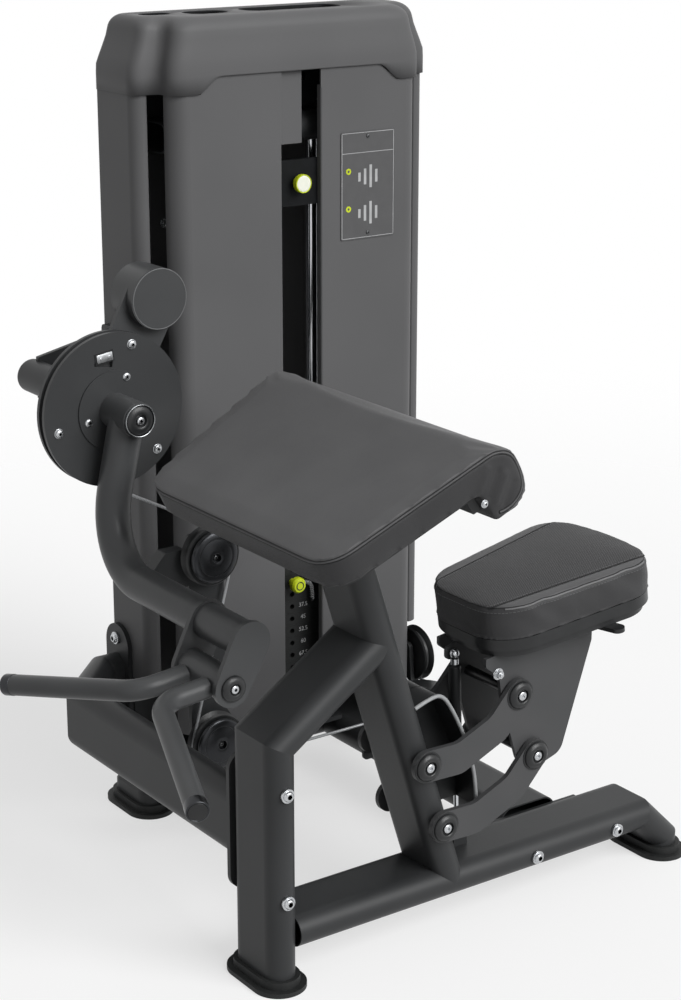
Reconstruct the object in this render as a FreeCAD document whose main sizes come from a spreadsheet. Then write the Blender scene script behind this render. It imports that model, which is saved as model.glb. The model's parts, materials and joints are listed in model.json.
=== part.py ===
import FreeCAD, Part
import math
import os

import Sketcher

# Biceps curl machine, in millimetres, +Z up.
# While it is drawn, x = 0 and y = 0 are the middle of the front leg, +X runs along the front rail
# towards the seat and +Y runs back to the weight tower. The last step moves the origin to the
# middle of the footprint.

# Driving sizes: alias, value, meaning
SIZES = [
    ("tube_wide", 140, "flat oval frame tube, long side"),
    ("tube_thick", 60, "flat oval frame tube, short side"),
    ("tube_wall", 3, "wall of the frame tubes"),
    ("part_gap", 0.3, "clearance between pieces that are not a fit"),
    ("pin_gap", 0.05, "radial clearance of a running pin"),
    ("overrun", 5, "how far a cut runs past the piece"),
    ("bolt_radius", 6, "shank radius of a frame bolt"),
    ("bolt_head_radius", 9, "radius of a bolt head"),
    ("bolt_head_tall", 8, "height of a bolt head"),
    ("washer_radius", 13, "radius of a washer"),
    ("washer_thick", 3, "thickness of a washer"),
    ("plate_thick", 10, "thickness of the welded plates"),

    ("shoe_margin", 21, "rubber shoe beyond the tube at the floor"),
    ("shoe_lip", 9, "rubber shoe beyond the tube at its top"),
    ("shoe_tall", 24, "height of a rubber shoe"),
    ("shoe_skirt", 9, "height of the shoe's straight skirt"),
    ("shoe_base", 8, "rubber under the tube"),

    ("leg_tall", 464, "height of the front leg on its axis, at the mitre"),
    ("brace_rise", 34.3, "angle of the leg brace above level"),
    ("rail_axis", 100, "height of the floor rails' axis"),
    ("rail_foot", 935, "front leg to the far foot of the front rail"),
    ("tail_run", 63, "length of the sloping end of a rail, along the rail"),
    ("column_foot", 373, "column axis at the top of the front rail"),
    ("column_lean", 17.6, "lean of the pad column"),
    ("side_axis", 284, "height of the left rail's axis"),
    ("side_turn", 102.4, "side of the left rail's mitred corner"),
    ("flange_tall", 268, "height of the bolted flanges of the left rail"),
    ("flange_wide", 90, "width of the bolted flanges of the left rail"),
    ("flange_bolts", 208, "distance between the bolts of a flange"),
    ("cross_axis", 682, "front leg to the right rail's axis"),
    ("cross_flange", 250, "length of the right rail's flange"),
    ("cross_bolts", 205, "distance between its bolts"),

    ("tower_axis", 496, "front leg to the middle of the weight tower"),
    ("tower_wide", 692, "width of the weight tower"),
    ("tower_front", 600, "front face of the weight tower"),
    ("tower_rear", 796, "rear face of the weight tower"),
    ("tower_base", 768, "axis of the tower's floor rail"),
    ("tower_foot", 310, "tower middle to its feet"),
    ("tower_top", 1655, "height of the top cap"),
    ("cap_seam", 1544, "height of the cap's lower edge at the middle"),
    ("cap_skirt", 1512, "height of the cap's lower edge at its sides"),
    ("cap_shoulder", 1562, "height where the cap's sides start to lean in"),
    ("cap_round", 14, "radius of the cap's top edge"),
    ("cap_proud", 4, "cap beyond the covers"),
    ("cap_lean", 30, "how far the cap's shoulders lean in"),
    ("cover_bottom", 205, "height of the front covers' lower edge"),
    ("shell_bottom", 312, "height of the side shells' lower edge"),
    ("shell_front", 655, "front face of the side shells"),
    ("shell_round", 25, "corner radius of the side shells"),
    ("shell_face", 30, "width of a side shell's front face"),
    ("cover_wall", 4, "wall of the moulded covers"),
    ("cover_deep", 40, "depth of the front covers' folded sides"),
    ("cover_round", 34, "corner radius of the front covers"),
    ("panel_inset", 56, "tower's side to the outer edge of a front cover"),
    ("slot_panel_low", 1401, "height of the slot panel's lower edge"),
    ("slot_left", 46, "tower middle to the slot's left edge"),
    ("slot_right", 47, "tower middle to the slot's right edge"),
    ("upright_side", 60, "side of the tower's square uprights"),
    ("upright_axis", 757, "axis of the uprights"),
    ("beam_axis_y", 713, "axis of the tower's top beam"),
    ("beam_axis_z", 1425, "height of the top beam's axis"),
    ("rod_radius", 12.5, "radius of a guide rod"),
    ("rod_spacing", 170, "distance between the guide rods"),
    ("stack_plane", 690, "middle plane of the weight stack"),

    ("plate_wide", 270, "width of a weight plate"),
    ("plate_deep", 92, "depth of a weight plate"),
    ("weight_thick", 27.2, "thickness of a weight plate"),
    ("weight_pitch", 27.5, "pitch of the weight plates"),
    ("stack_low", 184, "underside of the lowest plate"),
    ("stem_radius", 13, "radius of the selector stem"),
    ("pin_hole_radius", 5.5, "radius of the selector holes"),

    ("pivot_x", -20, "arm pivot beside the front leg"),
    ("pivot_z", 968, "height of the arm pivot"),
    ("cam_front", 462, "front face of the cam disc"),
    ("cam_radius", 146, "radius of the cam disc"),
    ("groove_radius", 136, "radius of the cam's cable groove"),
    ("cam_plate", 8, "thickness of each cam plate"),
    ("cable_radius", 3, "radius of the cable"),
    ("arm_tilt", 10, "tilt of the arm tube at rest"),
    ("arm_drop", 287, "pivot to the arm tube's lower run"),
    ("arm_tube_radius", 33, "radius of the arm tube"),
    ("arm_tube_wall", 4, "wall of the arm tube"),
    ("arm_bend", 135, "bend radius of the arm tube"),
    ("hub_radius", 33, "radius of the arm's hub barrel"),
    ("hub_long", 87, "length of the hub barrel"),
    ("shaft_radius", 15, "radius of the pivot shaft"),
    ("housing_back", 780, "rear end of the pivot housing"),
    ("fork_half", 72, "mid plane to the outer face of the arm's end plates"),
    ("fork_plate", 10, "thickness of the arm's end plates"),
    ("fork_radius", 38, "end radius of the arm's end plates"),
    ("swivel_x", -24.9, "swivel axis from the pivot, across the arm"),
    ("swivel_z", -365.9, "swivel axis from the pivot, along the arm"),
    ("barrel_radius", 30, "radius of the handle's barrel"),
    ("grip_radius", 19, "radius of the handle bar"),
    ("stem_half", 35, "mid plane to a handle stem"),
    ("weight_x", 70, "counterweight from the pivot, across the arm"),
    ("weight_z", 210, "counterweight from the pivot, along the arm"),
    ("weight_radius", 58, "radius of the counterweight"),
    ("weight_long", 67, "length of the counterweight"),

    ("pulley_radius", 61, "outer radius of a cable pulley"),
    ("pulley_groove", 54, "groove radius of a cable pulley"),
    ("pulley_half", 13, "half the width of a pulley"),
    ("pulley_bore", 8, "radius of a pulley's axle"),
    ("upper_pulley_x", 190, "front leg to the upper pulley"),
    ("upper_pulley_z", 640, "height of the upper pulley"),
    ("lower_pulley_x", 196, "front leg to the lower pulley"),
    ("lower_pulley_z", 245, "height of the lower pulley"),
    ("turn_pulley_x", 761, "front leg to the flat turning pulley"),
    ("top_pulley_z", 1520, "height of the top pulleys"),

    ("link_long", 232, "distance between a seat link's pivots"),
    ("link_rise", 23, "rise of the seat links at rest"),
    ("link_half", 31, "half the width of a seat link"),
    ("link_thick", 10, "thickness of a seat link"),
    ("link_dip", 31, "how far a seat link dips below its pivots"),
    ("link_elbow", 68, "pivot to the link's bend"),
    ("link_inside", 78, "mid plane to the inner face of a seat link"),
    ("upper_pivot_z", 368, "height of the upper link's pivot on the column"),
    ("pivot_spacing", 138, "distance between the two column pivots"),
    ("seat_pin_radius", 10, "radius of the seat pivot pins"),
    ("carrier_thick", 8, "thickness of the seat carrier's side plates"),
    ("carrier_inside", 66, "mid plane to the inner face of a carrier plate"),
    ("seat_tilt", 8, "tilt of the seat"),
    ("seat_front", 440, "front leg to the seat's narrow end"),
    ("seat_long", 383, "length of the seat"),
    ("seat_narrow", 118, "half width at the narrow end"),
    ("seat_broad", 158, "half width at the broad end"),
    ("seat_under", 540, "underside of the tray at the narrow end"),
    ("tray_tall", 38, "height of the seat tray"),
    ("cushion_tall", 70, "height of the seat cushion"),

    ("pad_low_x", -70, "low edge of the arm pad"),
    ("pad_low_z", 880, "height of the low edge's top"),
    ("pad_slope", 26.6, "slope of the arm pad"),
    ("pad_long", 330, "length of the arm pad along its slope, to the middle of its roll"),
    ("pad_thick", 60, "thickness of the arm pad"),
    ("pad_roll", 62, "radius of the pad's rolled end"),
    ("pad_low_half", 284, "half width at the low edge"),
    ("pad_high_half", 332, "half width at the rolled end"),
    ("board_thick", 15, "thickness of the pad board"),
    ("pad_corner", 65, "corner radius of the pad's low edge"),

    ("handle_stem", 122.6, "length of a handle stem to its bend"),
    ("handle_grip", 309.8, "bend to the end of a grip"),
    ("handle_splay", 20.6, "angle of a grip off the mid plane's normal"),
    ("handle_fall", 9.4, "fall of the grips to their ends"),
    ("handle_dip", 5.6, "dip of the handle stems"),
    ("handle_bend", 52, "bend radius of the handle"),
    ("grip_ring", 10, "length of a grip's metal ring"),
    ("grip_cap", 9, "length of a grip's end cap"),
    ("pin_cap_radius", 27, "radius of the domed caps on the seat links"),
    ("pin_cap_tall", 10, "height of those caps"),
    ("spring_x", 452, "front leg to the gas spring's foot"),
    ("spring_z", 160, "height of the gas spring's foot"),
    ("spring_y", 20, "gas spring beside the mid plane"),
    ("spring_lean", 1.9, "lean of the gas spring"),
    ("spring_long", 360.2, "gas spring between its ends"),
    ("spring_radius", 12, "radius of the gas spring's barrel"),
    ("spring_rod", 5, "radius of the gas spring's rod"),
    ("barrel_long", 205, "length of the gas spring's barrel"),
    ("guard_thick", 3, "thickness of the bent guard strip"),
    ("guard_half", 60, "half the width of the guard strip"),
    ("guard_tall", 270, "height of the guard strip"),
    ("guard_foot_x", 434, "front leg to the guard strip's lower end"),
    ("guard_foot_z", 245, "height of the guard strip's lower end"),
    ("roller_x", 588, "front leg to the small guide roller"),
    ("roller_radius", 33, "radius of the small guide roller"),
    ("knob_radius", 18.5, "radius of the increment knob"),
    ("knob_height", 1322, "height of the increment knob"),
    ("placard_left", 590, "front leg to the placard's left edge"),
    ("placard_right", 724, "front leg to the placard's right edge"),
    ("placard_low", 1196, "height of the placard's lower edge"),
    ("placard_high", 1414, "height of the placard's upper edge"),
    ("placard_thick", 1.5, "thickness of the placard"),
    ("lever_long", 46, "length of the seat release lever"),
]

document = FreeCAD.newDocument("CurlMachine")
sheet = document.addObject("Spreadsheet::Sheet", "Sizes")
for row, (alias, value, meaning) in enumerate(SIZES, start=1):
    sheet.set("A%d" % row, alias)
    sheet.set("B%d" % row, str(value))
    sheet.set("C%d" % row, meaning)
    sheet.setAlias("B%d" % row, alias)
document.recompute()


class Size:
    """A number together with the sheet formula that gives it."""

    def __init__(self, value, formula):
        self.value = float(value)
        self.formula = formula

    def __float__(self):
        return self.value

    def __neg__(self):
        return Size(-self.value, "(0 - %s)" % self.formula)

    def __add__(self, other):
        return Size(self.value + float(other), "(%s + %s)" % (self.formula, formula_of(other)))

    def __sub__(self, other):
        return Size(self.value - float(other), "(%s - %s)" % (self.formula, formula_of(other)))

    def __mul__(self, other):
        return Size(self.value * float(other), "(%s * %s)" % (self.formula, formula_of(other)))

    def __truediv__(self, other):
        return Size(self.value / float(other), "(%s / %s)" % (self.formula, formula_of(other)))

    def __radd__(self, other):
        return Size(float(other), repr(float(other))) + self

    def __rsub__(self, other):
        return Size(float(other), repr(float(other))) - self

    def __rmul__(self, other):
        return self * other


def formula_of(value):
    """The sheet formula of a size, or a plain number as text."""
    return value.formula if isinstance(value, Size) else repr(float(value))


def sine(angle):
    return Size(math.sin(math.radians(float(angle))), "sin(%s)" % formula_of(angle))


def cosine(angle):
    return Size(math.cos(math.radians(float(angle))), "cos(%s)" % formula_of(angle))


def tangent(angle):
    return Size(math.tan(math.radians(float(angle))), "tan(%s)" % formula_of(angle))


def root(value):
    return Size(math.sqrt(float(value)), "sqrt(%s)" % formula_of(value))


def heading(rise, run):
    """The angle of a slope given by its rise and run."""
    return Size(math.degrees(math.atan2(float(rise), float(run))),
                "atan2(%s; %s)" % (formula_of(rise), formula_of(run)))


def angle_of_sine(value):
    return Size(math.degrees(math.asin(float(value))), "asin(%s)" % formula_of(value))


class Sheet:
    """The driving sizes by name."""


s = Sheet()
for alias, value, meaning in SIZES:
    setattr(s, alias, Size(value, "Sizes." + alias))

# Each finished sub-part: node name and the object whose shape it is
nodes = []


def bind(thing, path, value):
    """Ties one property to the sheet."""
    if isinstance(value, Size):
        thing.setExpression(path, value.formula)


def place(thing, x=0, y=0, z=0, axis=None, angle=0):
    """Places an object, turned about an axis, with its place tied to the sheet."""
    turn = FreeCAD.Rotation()
    if axis is not None:
        turn = FreeCAD.Rotation(FreeCAD.Vector(*axis), float(angle))
    thing.Placement = FreeCAD.Placement(FreeCAD.Vector(float(x), float(y), float(z)), turn)
    bind(thing, "Placement.Base.x", x)
    bind(thing, "Placement.Base.y", y)
    bind(thing, "Placement.Base.z", z)
    if axis is not None:
        bind(thing, "Placement.Rotation.Angle", angle)
    return thing


def node(label, thing):
    """Keeps an object as a sub-part under its own name."""
    thing.Label = label
    nodes.append((label, thing))
    return thing


class Drawing:
    """A sketch on one of a body's own planes, with its points tied to the sheet."""

    def __init__(self, body, role, offset=0):
        self.sketch = body.newObject("Sketcher::SketchObject", "Sketch")
        plane = [item for item in body.Origin.OriginFeatures if item.Role == role]
        self.sketch.AttachmentSupport = [(plane[0], "")]
        self.sketch.MapMode = "FlatFace"
        self.sketch.AttachmentOffset = FreeCAD.Placement(
            FreeCAD.Vector(0, 0, float(offset)), FreeCAD.Rotation())
        bind(self.sketch, "AttachmentOffset.Base.z", offset)

    def add(self, geometry, construction=False):
        return self.sketch.addGeometry(geometry, construction)

    def measure(self, kind, arguments, value):
        """Adds one dimension and ties it to the sheet."""
        index = self.sketch.addConstraint(Sketcher.Constraint(kind, *arguments, float(value)))
        bind(self.sketch, "Constraints[%d]" % index, value)

    def fix(self, piece, end, x, y):
        """Holds a point at its two distances from the sketch origin."""
        for kind, axis, value in (("DistanceX", -2, x), ("DistanceY", -1, y)):
            if abs(float(value)) < 1e-9:
                self.sketch.addConstraint(Sketcher.Constraint("PointOnObject", piece, end, axis))
            else:
                self.measure(kind, (-1, 1, piece, end), value)

    def circle(self, x, y, radius):
        centre = FreeCAD.Vector(float(x), float(y), 0)
        ring = self.add(Part.Circle(centre, FreeCAD.Vector(0, 0, 1), float(radius)))
        self.measure("Radius", (ring,), radius)
        self.fix(ring, 3, x, y)
        return self

    def stadium(self, x1, y1, x2, y2, radius, end_radius=None):
        """Two round ends joined by their outer tangents."""
        other = radius if end_radius is None else end_radius
        first = FreeCAD.Vector(float(x1), float(y1), 0)
        last = FreeCAD.Vector(float(x2), float(y2), 0)
        along = last - first
        heading = math.atan2(along.y, along.x)
        spread = math.acos((float(radius) - float(other)) / along.Length)
        up = FreeCAD.Vector(0, 0, 1)
        start, stop = heading + spread, heading - spread
        arc_a = self.add(Part.ArcOfCircle(
            Part.Circle(first, up, float(radius)), start, stop + 2 * math.pi))
        arc_b = self.add(Part.ArcOfCircle(Part.Circle(last, up, float(other)), stop, start))

        def rim(centre, size, angle):
            return centre + FreeCAD.Vector(math.cos(angle), math.sin(angle), 0) * float(size)

        line_a = self.add(Part.LineSegment(rim(first, radius, stop), rim(last, other, stop)))
        line_b = self.add(Part.LineSegment(rim(last, other, start), rim(first, radius, start)))
        self.sketch.addConstraint([
            Sketcher.Constraint("Tangent", arc_a, 2, line_a, 1),
            Sketcher.Constraint("Tangent", line_a, 2, arc_b, 1),
            Sketcher.Constraint("Tangent", arc_b, 2, line_b, 1),
            Sketcher.Constraint("Tangent", line_b, 2, arc_a, 1)])
        self.measure("Radius", (arc_a,), radius)
        self.measure("Radius", (arc_b,), other)
        self.fix(arc_a, 3, x1, y1)
        self.fix(arc_b, 3, x2, y2)
        return self

    def outline(self, corners, closed=True):
        """Straight sides through corners (x, y) or (x, y, radius) with rounded corners."""
        points = [FreeCAD.Vector(float(c[0]), float(c[1]), 0) for c in corners]
        count = len(points)
        before = list(points)
        after = list(points)
        arcs = {}
        up = FreeCAD.Vector(0, 0, 1)
        for i, corner in enumerate(corners):
            if len(corner) < 3:
                continue
            to_last = (points[i - 1] - points[i]).normalize()
            to_next = (points[(i + 1) % count] - points[i]).normalize()
            half = to_last.getAngle(to_next) / 2
            reach = float(corner[2]) / math.tan(half)
            before[i] = points[i] + to_last * reach
            after[i] = points[i] + to_next * reach
            middle = points[i] + (to_last + to_next).normalize() * (float(corner[2]) / math.sin(half))
            leftward = to_last.cross(to_next).z < 0
            first, last = (before[i], after[i]) if leftward else (after[i], before[i])
            angles = [math.atan2(p.y - middle.y, p.x - middle.x) for p in (first, last)]
            arcs[i] = (Part.ArcOfCircle(Part.Circle(middle, up, float(corner[2])), *angles), leftward)
        sides = count if closed else count - 1
        lines = [self.add(Part.LineSegment(after[i], before[(i + 1) % count])) for i in range(sides)]
        for i, corner in enumerate(corners):
            if i in arcs:
                geometry, leftward = arcs[i]
                arc = self.add(geometry)
                point = self.add(Part.Point(points[i]), True)
                enter, leave = (1, 2) if leftward else (2, 1)
                self.sketch.addConstraint([
                    Sketcher.Constraint("Tangent", lines[i - 1], 2, arc, enter),
                    Sketcher.Constraint("Tangent", lines[i], 1, arc, leave),
                    Sketcher.Constraint("PointOnObject", point, 1, lines[i - 1]),
                    Sketcher.Constraint("PointOnObject", point, 1, lines[i])])
                self.measure("Radius", (arc,), corner[2])
                self.fix(point, 1, corner[0], corner[1])
            elif not closed and i == count - 1:
                self.fix(lines[i - 1], 2, corner[0], corner[1])
            else:
                if closed or i > 0:
                    self.sketch.addConstraint(
                        Sketcher.Constraint("Coincident", lines[i - 1], 2, lines[i], 1))
                self.fix(lines[i], 1, corner[0], corner[1])
        return self


def new_body(name):
    return document.addObject("PartDesign::Body", name)


def pad(body, drawing, length, reverse=False):
    feature = body.newObject("PartDesign::Pad", "Pad")
    feature.Profile = drawing.sketch
    feature.Length = float(length)
    feature.Reversed = reverse
    bind(feature, "Length", length)
    drawing.sketch.Visibility = False
    return feature


def pocket(body, drawing, length, reverse=False):
    feature = body.newObject("PartDesign::Pocket", "Pocket")
    feature.Profile = drawing.sketch
    feature.Length = float(length)
    feature.Reversed = reverse
    bind(feature, "Length", length)
    return feature


def revolve(body, drawing, cut=False):
    kind = "PartDesign::Groove" if cut else "PartDesign::Revolution"
    feature = body.newObject(kind, "Turned")
    feature.Profile = drawing.sketch
    feature.ReferenceAxis = (drawing.sketch, ["V_Axis"])
    feature.Angle = 360
    return feature


def pipe(body, section, path, corner="Right corner", cut=False):
    """Sweeps a section along a path sketch, mitred where the path has a sharp corner."""
    kind = "PartDesign::SubtractivePipe" if cut else "PartDesign::AdditivePipe"
    feature = body.newObject(kind, "Pipe")
    feature.Profile = section.sketch
    feature.Spine = (path.sketch, [])
    feature.Transition = corner
    return feature


def both_sides(label, thing):
    """A piece and its mirror image across the plane y = 0, as one sub-part."""
    mirrored = document.addObject("Part::Mirroring", label + "_mirrored")
    mirrored.Source = thing
    mirrored.Base = FreeCAD.Vector(0, 0, 0)
    mirrored.Normal = FreeCAD.Vector(0, 1, 0)
    return group(label, [thing, mirrored])


def group(label, things):
    """Like pieces that share one sub-part, as separate solids."""
    compound = document.addObject("Part::Compound", label)
    compound.Links = things
    return node(label, compound)


def cut(label, base, tools):
    """A piece with its neighbours' shapes cut away."""
    for tool in tools:
        feature = document.addObject("Part::Cut", label + "_cut")
        feature.Base = base
        feature.Tool = tool
        base = feature
    return base


def plate_y(name, corners, y_far, thick, holes=(), rounds=()):
    """A plate square to Y: its outline in x and z, its far face and its thickness."""
    body = new_body(name)
    face = Drawing(body, "XZ_Plane", -y_far).outline(corners)
    for hole in holes:
        face.circle(*hole)
    pad(body, face, thick)
    for x, z, radius in rounds:
        pad(body, Drawing(body, "XZ_Plane", -y_far).circle(x, z, radius), thick)
    return body


def disc_y(name, x, z, radius, y_far, length, bore=None):
    """A round piece whose axis lies along Y."""
    body = new_body(name)
    face = Drawing(body, "XZ_Plane", -y_far).circle(x, z, radius)
    if bore is not None:
        face.circle(x, z, bore)
    pad(body, face, length)
    return body


def turned_y(name, corners, x, y, z):
    """A turned piece about an axis along +Y: its outline in radius and length."""
    body = new_body(name)
    revolve(body, Drawing(body, "XZ_Plane").outline(corners))
    place(body, x, y, z, (1, 0, 0), -90)
    return body


def tube_ring(body, role, centre, offset, shrink=0, tall=False):
    """The flat oval section of a frame tube, drawn about a centre."""
    radius = s.tube_thick / 2 - shrink
    reach = (s.tube_wide - s.tube_thick) / 2
    x, y = centre
    if tall:
        return Drawing(body, role, offset).stadium(x, y - reach, x, y + reach, radius)
    return Drawing(body, role, offset).stadium(x - reach, y, x + reach, y, radius)


def rubber_shoe(label, x, y, along_x=False):
    """A bevelled rubber shoe with a pocket for the tube's end."""
    reach = (s.tube_wide - s.tube_thick) / 2
    half = s.tube_thick / 2
    dx, dy = (reach, 0) if along_x else (0, reach)
    body = new_body(label)
    for base, grow, tall in ((0, s.shoe_margin, s.shoe_skirt),
                             (s.shoe_skirt, s.shoe_lip, s.shoe_tall - s.shoe_skirt)):
        ring = Drawing(body, "XY_Plane", base)
        pad(body, ring.stadium(x - dx, y - dy, x + dx, y + dy, half + grow), tall)
    well = Drawing(body, "XY_Plane", s.shoe_tall)
    well.stadium(x - dx, y - dy, x + dx, y + dy, half + s.part_gap)
    pocket(body, well, s.shoe_tall - s.shoe_base)
    return node(label, body)


def rail_form(name):
    """The solid outside shape of the front rail, for coping what stands on it."""
    body = new_body(name)
    ring = tube_ring(body, "YZ_Plane", (0, s.rail_axis), 0)
    pad(body, ring, s.rail_foot)
    return body


def column_form(name, start, length, shrink=0):
    """The leaning column, from a distance along its axis."""
    body = new_body(name)
    ring = tube_ring(body, "XY_Plane", (0, 0), start, shrink, tall=True)
    pad(body, ring, length)
    return place(body, s.column_foot, 0, rail_top, (0, 1, 0), -s.column_lean)


rail_top = s.rail_axis + s.tube_thick / 2
half_tube = s.tube_thick / 2
half_wide = s.tube_wide / 2
cable_plane = s.cam_front + s.cam_plate + s.cable_radius * 2
low_cable = s.lower_pulley_z - s.pulley_groove
stack_cable_x = s.turn_pulley_x + s.pulley_groove
rear_pulley_y = s.stack_plane - s.pulley_groove
shell_left = s.tower_axis - s.tower_wide / 2
panel_half = s.tower_wide / 2 - s.panel_inset
upright_x = s.tower_wide / 2 - s.cover_wall - s.part_gap - s.upright_side / 2
pad_under = s.pad_thick + s.part_gap


def box(name, x, y, z, long, deep, tall):
    """A plain block from its lowest corner."""
    block = document.addObject("Part::Box", name)
    for side, value in (("Length", long), ("Width", deep), ("Height", tall)):
        setattr(block, side, float(value))
        bind(block, side, value)
    return place(block, x, y, z)


def round_top(body, feature, radius):
    """Rounds the edges of the highest face of a feature."""
    document.recompute()
    flat = max(feature.Shape.Faces, key=lambda face: face.CenterOfMass.z)
    names = ["Edge%d" % (n + 1) for n, edge in enumerate(feature.Shape.Edges)
             if any(edge.isSame(other) for other in flat.Edges)]
    rounding = body.newObject("PartDesign::Fillet", "Rounding")
    rounding.Base = (feature, names)
    rounding.Radius = float(radius)
    bind(rounding, "Radius", radius)
    return rounding


def fused(label, things):
    """Touching pieces made into one solid."""
    whole = document.addObject("Part::MultiFuse", label)
    whole.Shapes = things
    return whole


def common(label, base, tool):
    """What two shapes share."""
    shared = document.addObject("Part::Common", label)
    shared.Base = base
    shared.Tool = tool
    return shared


def plate_x(name, corners, x_near, thick, holes=()):
    """A plate square to X: its outline in y and z, its near face and its thickness."""
    body = new_body(name)
    face = Drawing(body, "YZ_Plane", x_near).outline(corners)
    for hole in holes:
        face.circle(*hole)
    pad(body, face, thick)
    return body


def plate_z(name, corners, z_low, thick, holes=()):
    """A level plate: its outline in x and y, its underside and its thickness."""
    body = new_body(name)
    face = Drawing(body, "XY_Plane", z_low).outline(corners)
    for hole in holes:
        face.circle(*hole)
    pad(body, face, thick)
    return body


def front_frame():
    """Front leg with its brace, leaning pad column, front rail and their rubber shoes."""
    brace_x = s.column_foot
    brace_z = s.leg_tall + s.column_foot * tangent(s.brace_rise)
    body = new_body("leg_blank")
    path = Drawing(body, "XZ_Plane").outline(
        [(0, s.shoe_base), (0, s.leg_tall), (brace_x, brace_z)], closed=False)
    pipe(body, tube_ring(body, "XY_Plane", (0, 0), s.shoe_base, tall=True), path)
    inside = tube_ring(body, "XY_Plane", (0, 0), s.shoe_base, s.tube_wall, tall=True)
    pipe(body, inside, path, cut=True)
    column_solid = column_form("column_solid", -s.tube_wide, s.pivot_z)
    beyond = box("beyond_column", 0, 0, 0, s.tube_wide * 4, s.tube_wide * 2, s.pivot_z)
    place(beyond, s.column_foot, -s.tube_wide, rail_top, (0, 1, 0), -s.column_lean)
    node("front_leg", cut("front_leg", body, [column_solid, beyond]))
    rubber_shoe("front_leg_shoe", 0, 0)

    rail = new_body("front_rail")
    turn_x = s.rail_foot - s.tail_run
    turn_z = s.rail_axis - s.tail_run
    rail_path = Drawing(rail, "XZ_Plane").outline(
        [(half_tube, s.rail_axis), (turn_x, s.rail_axis), (s.rail_foot, turn_z),
         (s.rail_foot, s.shoe_base)], closed=False)
    pipe(rail, tube_ring(rail, "YZ_Plane", (0, s.rail_axis), half_tube), rail_path)
    inside = tube_ring(rail, "YZ_Plane", (0, s.rail_axis), half_tube, s.tube_wall)
    pipe(rail, inside, rail_path, cut=True)
    node("front_rail", rail)
    rubber_shoe("front_rail_shoe", s.rail_foot, 0)

    column = column_form("column_blank", -s.tube_wide, s.pivot_z)
    bore = tube_ring(column, "XY_Plane", (0, 0), s.pivot_z, s.tube_wall, tall=True)
    pocket(column, bore, s.pivot_z + s.tube_wide)
    above_pad = box("above_pad", 0, 0, 0, s.tube_wide * 5, s.tube_wide * 2, s.tube_wide * 4)
    lift = -(pad_under + s.board_thick + s.plate_thick)
    in_pad_frame(above_pad, -s.tube_wide, -s.tube_wide, lift)
    below = box("below_rail", -s.tube_wide, -s.tube_wide, -s.tube_wide * 2,
                s.rail_foot, s.tube_wide * 2, s.tube_wide * 2 + s.rail_axis)
    drills = []
    for x, z in column_pivots():
        drills.append(disc_y("pin_drill", x, z, s.seat_pin_radius + s.pin_gap, half_wide * 2,
            half_wide * 4))
    node("column_tube", cut("column_tube", column,
                           [rail_form("rail_solid"), below, above_pad] + drills))


def in_pad_frame(thing, along=0, across_y=0, lift=0):
    """Places a piece drawn along the pad's slope, from the low edge of its top."""
    x = s.pad_low_x + along * cosine(s.pad_slope) - lift * sine(s.pad_slope)
    z = s.pad_low_z + along * sine(s.pad_slope) + lift * cosine(s.pad_slope)
    return place(thing, x, across_y, z, (0, 1, 0), -s.pad_slope)


def side_frame():
    """Left rail from the front leg round to the tower, right rail and their bolted flanges."""
    low = s.side_axis - s.flange_tall / 2
    high = s.side_axis + s.flange_tall / 2
    half_flange = s.flange_wide / 2
    bolts = s.flange_bolts / 2
    plate = new_body("leg_flange")
    face = Drawing(plate, "XZ_Plane", -(half_wide + s.plate_thick))
    face.stadium(0, low + half_tube, 0, high - half_tube, half_tube)
    pad(plate, face, s.plate_thick)
    node("leg_flange", plate)

    side = new_body("left_rail")
    start = half_wide + s.plate_thick
    path = Drawing(side, "XY_Plane", s.side_axis).outline(
        [(0, start), (0, s.tower_base - s.side_turn), (s.side_turn, s.tower_base),
         (shell_left - s.plate_thick, s.tower_base)], closed=False)
    pipe(side, tube_ring(side, "XZ_Plane", (0, s.side_axis), -start, tall=True), path)
    inside = tube_ring(side, "XZ_Plane", (0, s.side_axis), -start, s.tube_wall, tall=True)
    pipe(side, inside, path, cut=True)
    node("left_rail", side)

    tab = new_body("tower_flange")
    face = Drawing(tab, "YZ_Plane", shell_left - s.plate_thick)
    face.stadium(s.tower_base, low + half_flange, s.tower_base, high - half_flange, half_flange)
    for sign in (-1, 1):
        face.circle(s.tower_base, s.side_axis + bolts * sign, s.bolt_radius + s.pin_gap)
    pad(tab, face, s.plate_thick - s.part_gap)
    node("tower_flange", tab)

    half = s.cross_flange / 2
    left, right = s.cross_axis - half, s.cross_axis + half
    low, high = s.rail_axis - half_tube, rail_top - s.plate_thick * 1.5
    node("cross_flange", plate_y(
        "cross_flange", [(left, low, s.bolt_radius), (right, low, s.bolt_radius),
                         (right, high, s.bolt_radius), (left, high, s.bolt_radius)],
        half_wide + s.plate_thick, s.plate_thick))
    cross = new_body("cross_blank")
    length = s.tower_base - start
    for shrink, feature in ((0, pad), (s.tube_wall, pocket)):
        ring = tube_ring(cross, "XZ_Plane", (s.cross_axis, s.rail_axis), -s.tower_base, shrink)
        feature(cross, ring, length, feature is pocket)
    base_solid = base_rail_form("tower_base_solid")[0]
    node("right_rail", cut("right_rail", cross, [base_solid]))
    foot = new_body("right_rail_foot")
    foot_y = s.tower_base / 2 + half_tube
    revolve(foot, Drawing(foot, "XZ_Plane").outline([
        (0, 0), (half_tube * 1.2, 0, s.bolt_radius), (half_tube, s.rail_axis - half_tube),
        (0, s.rail_axis - half_tube)]))
    place(foot, s.cross_axis - half_tube, foot_y, 0)
    node("right_rail_foot", foot)


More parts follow.
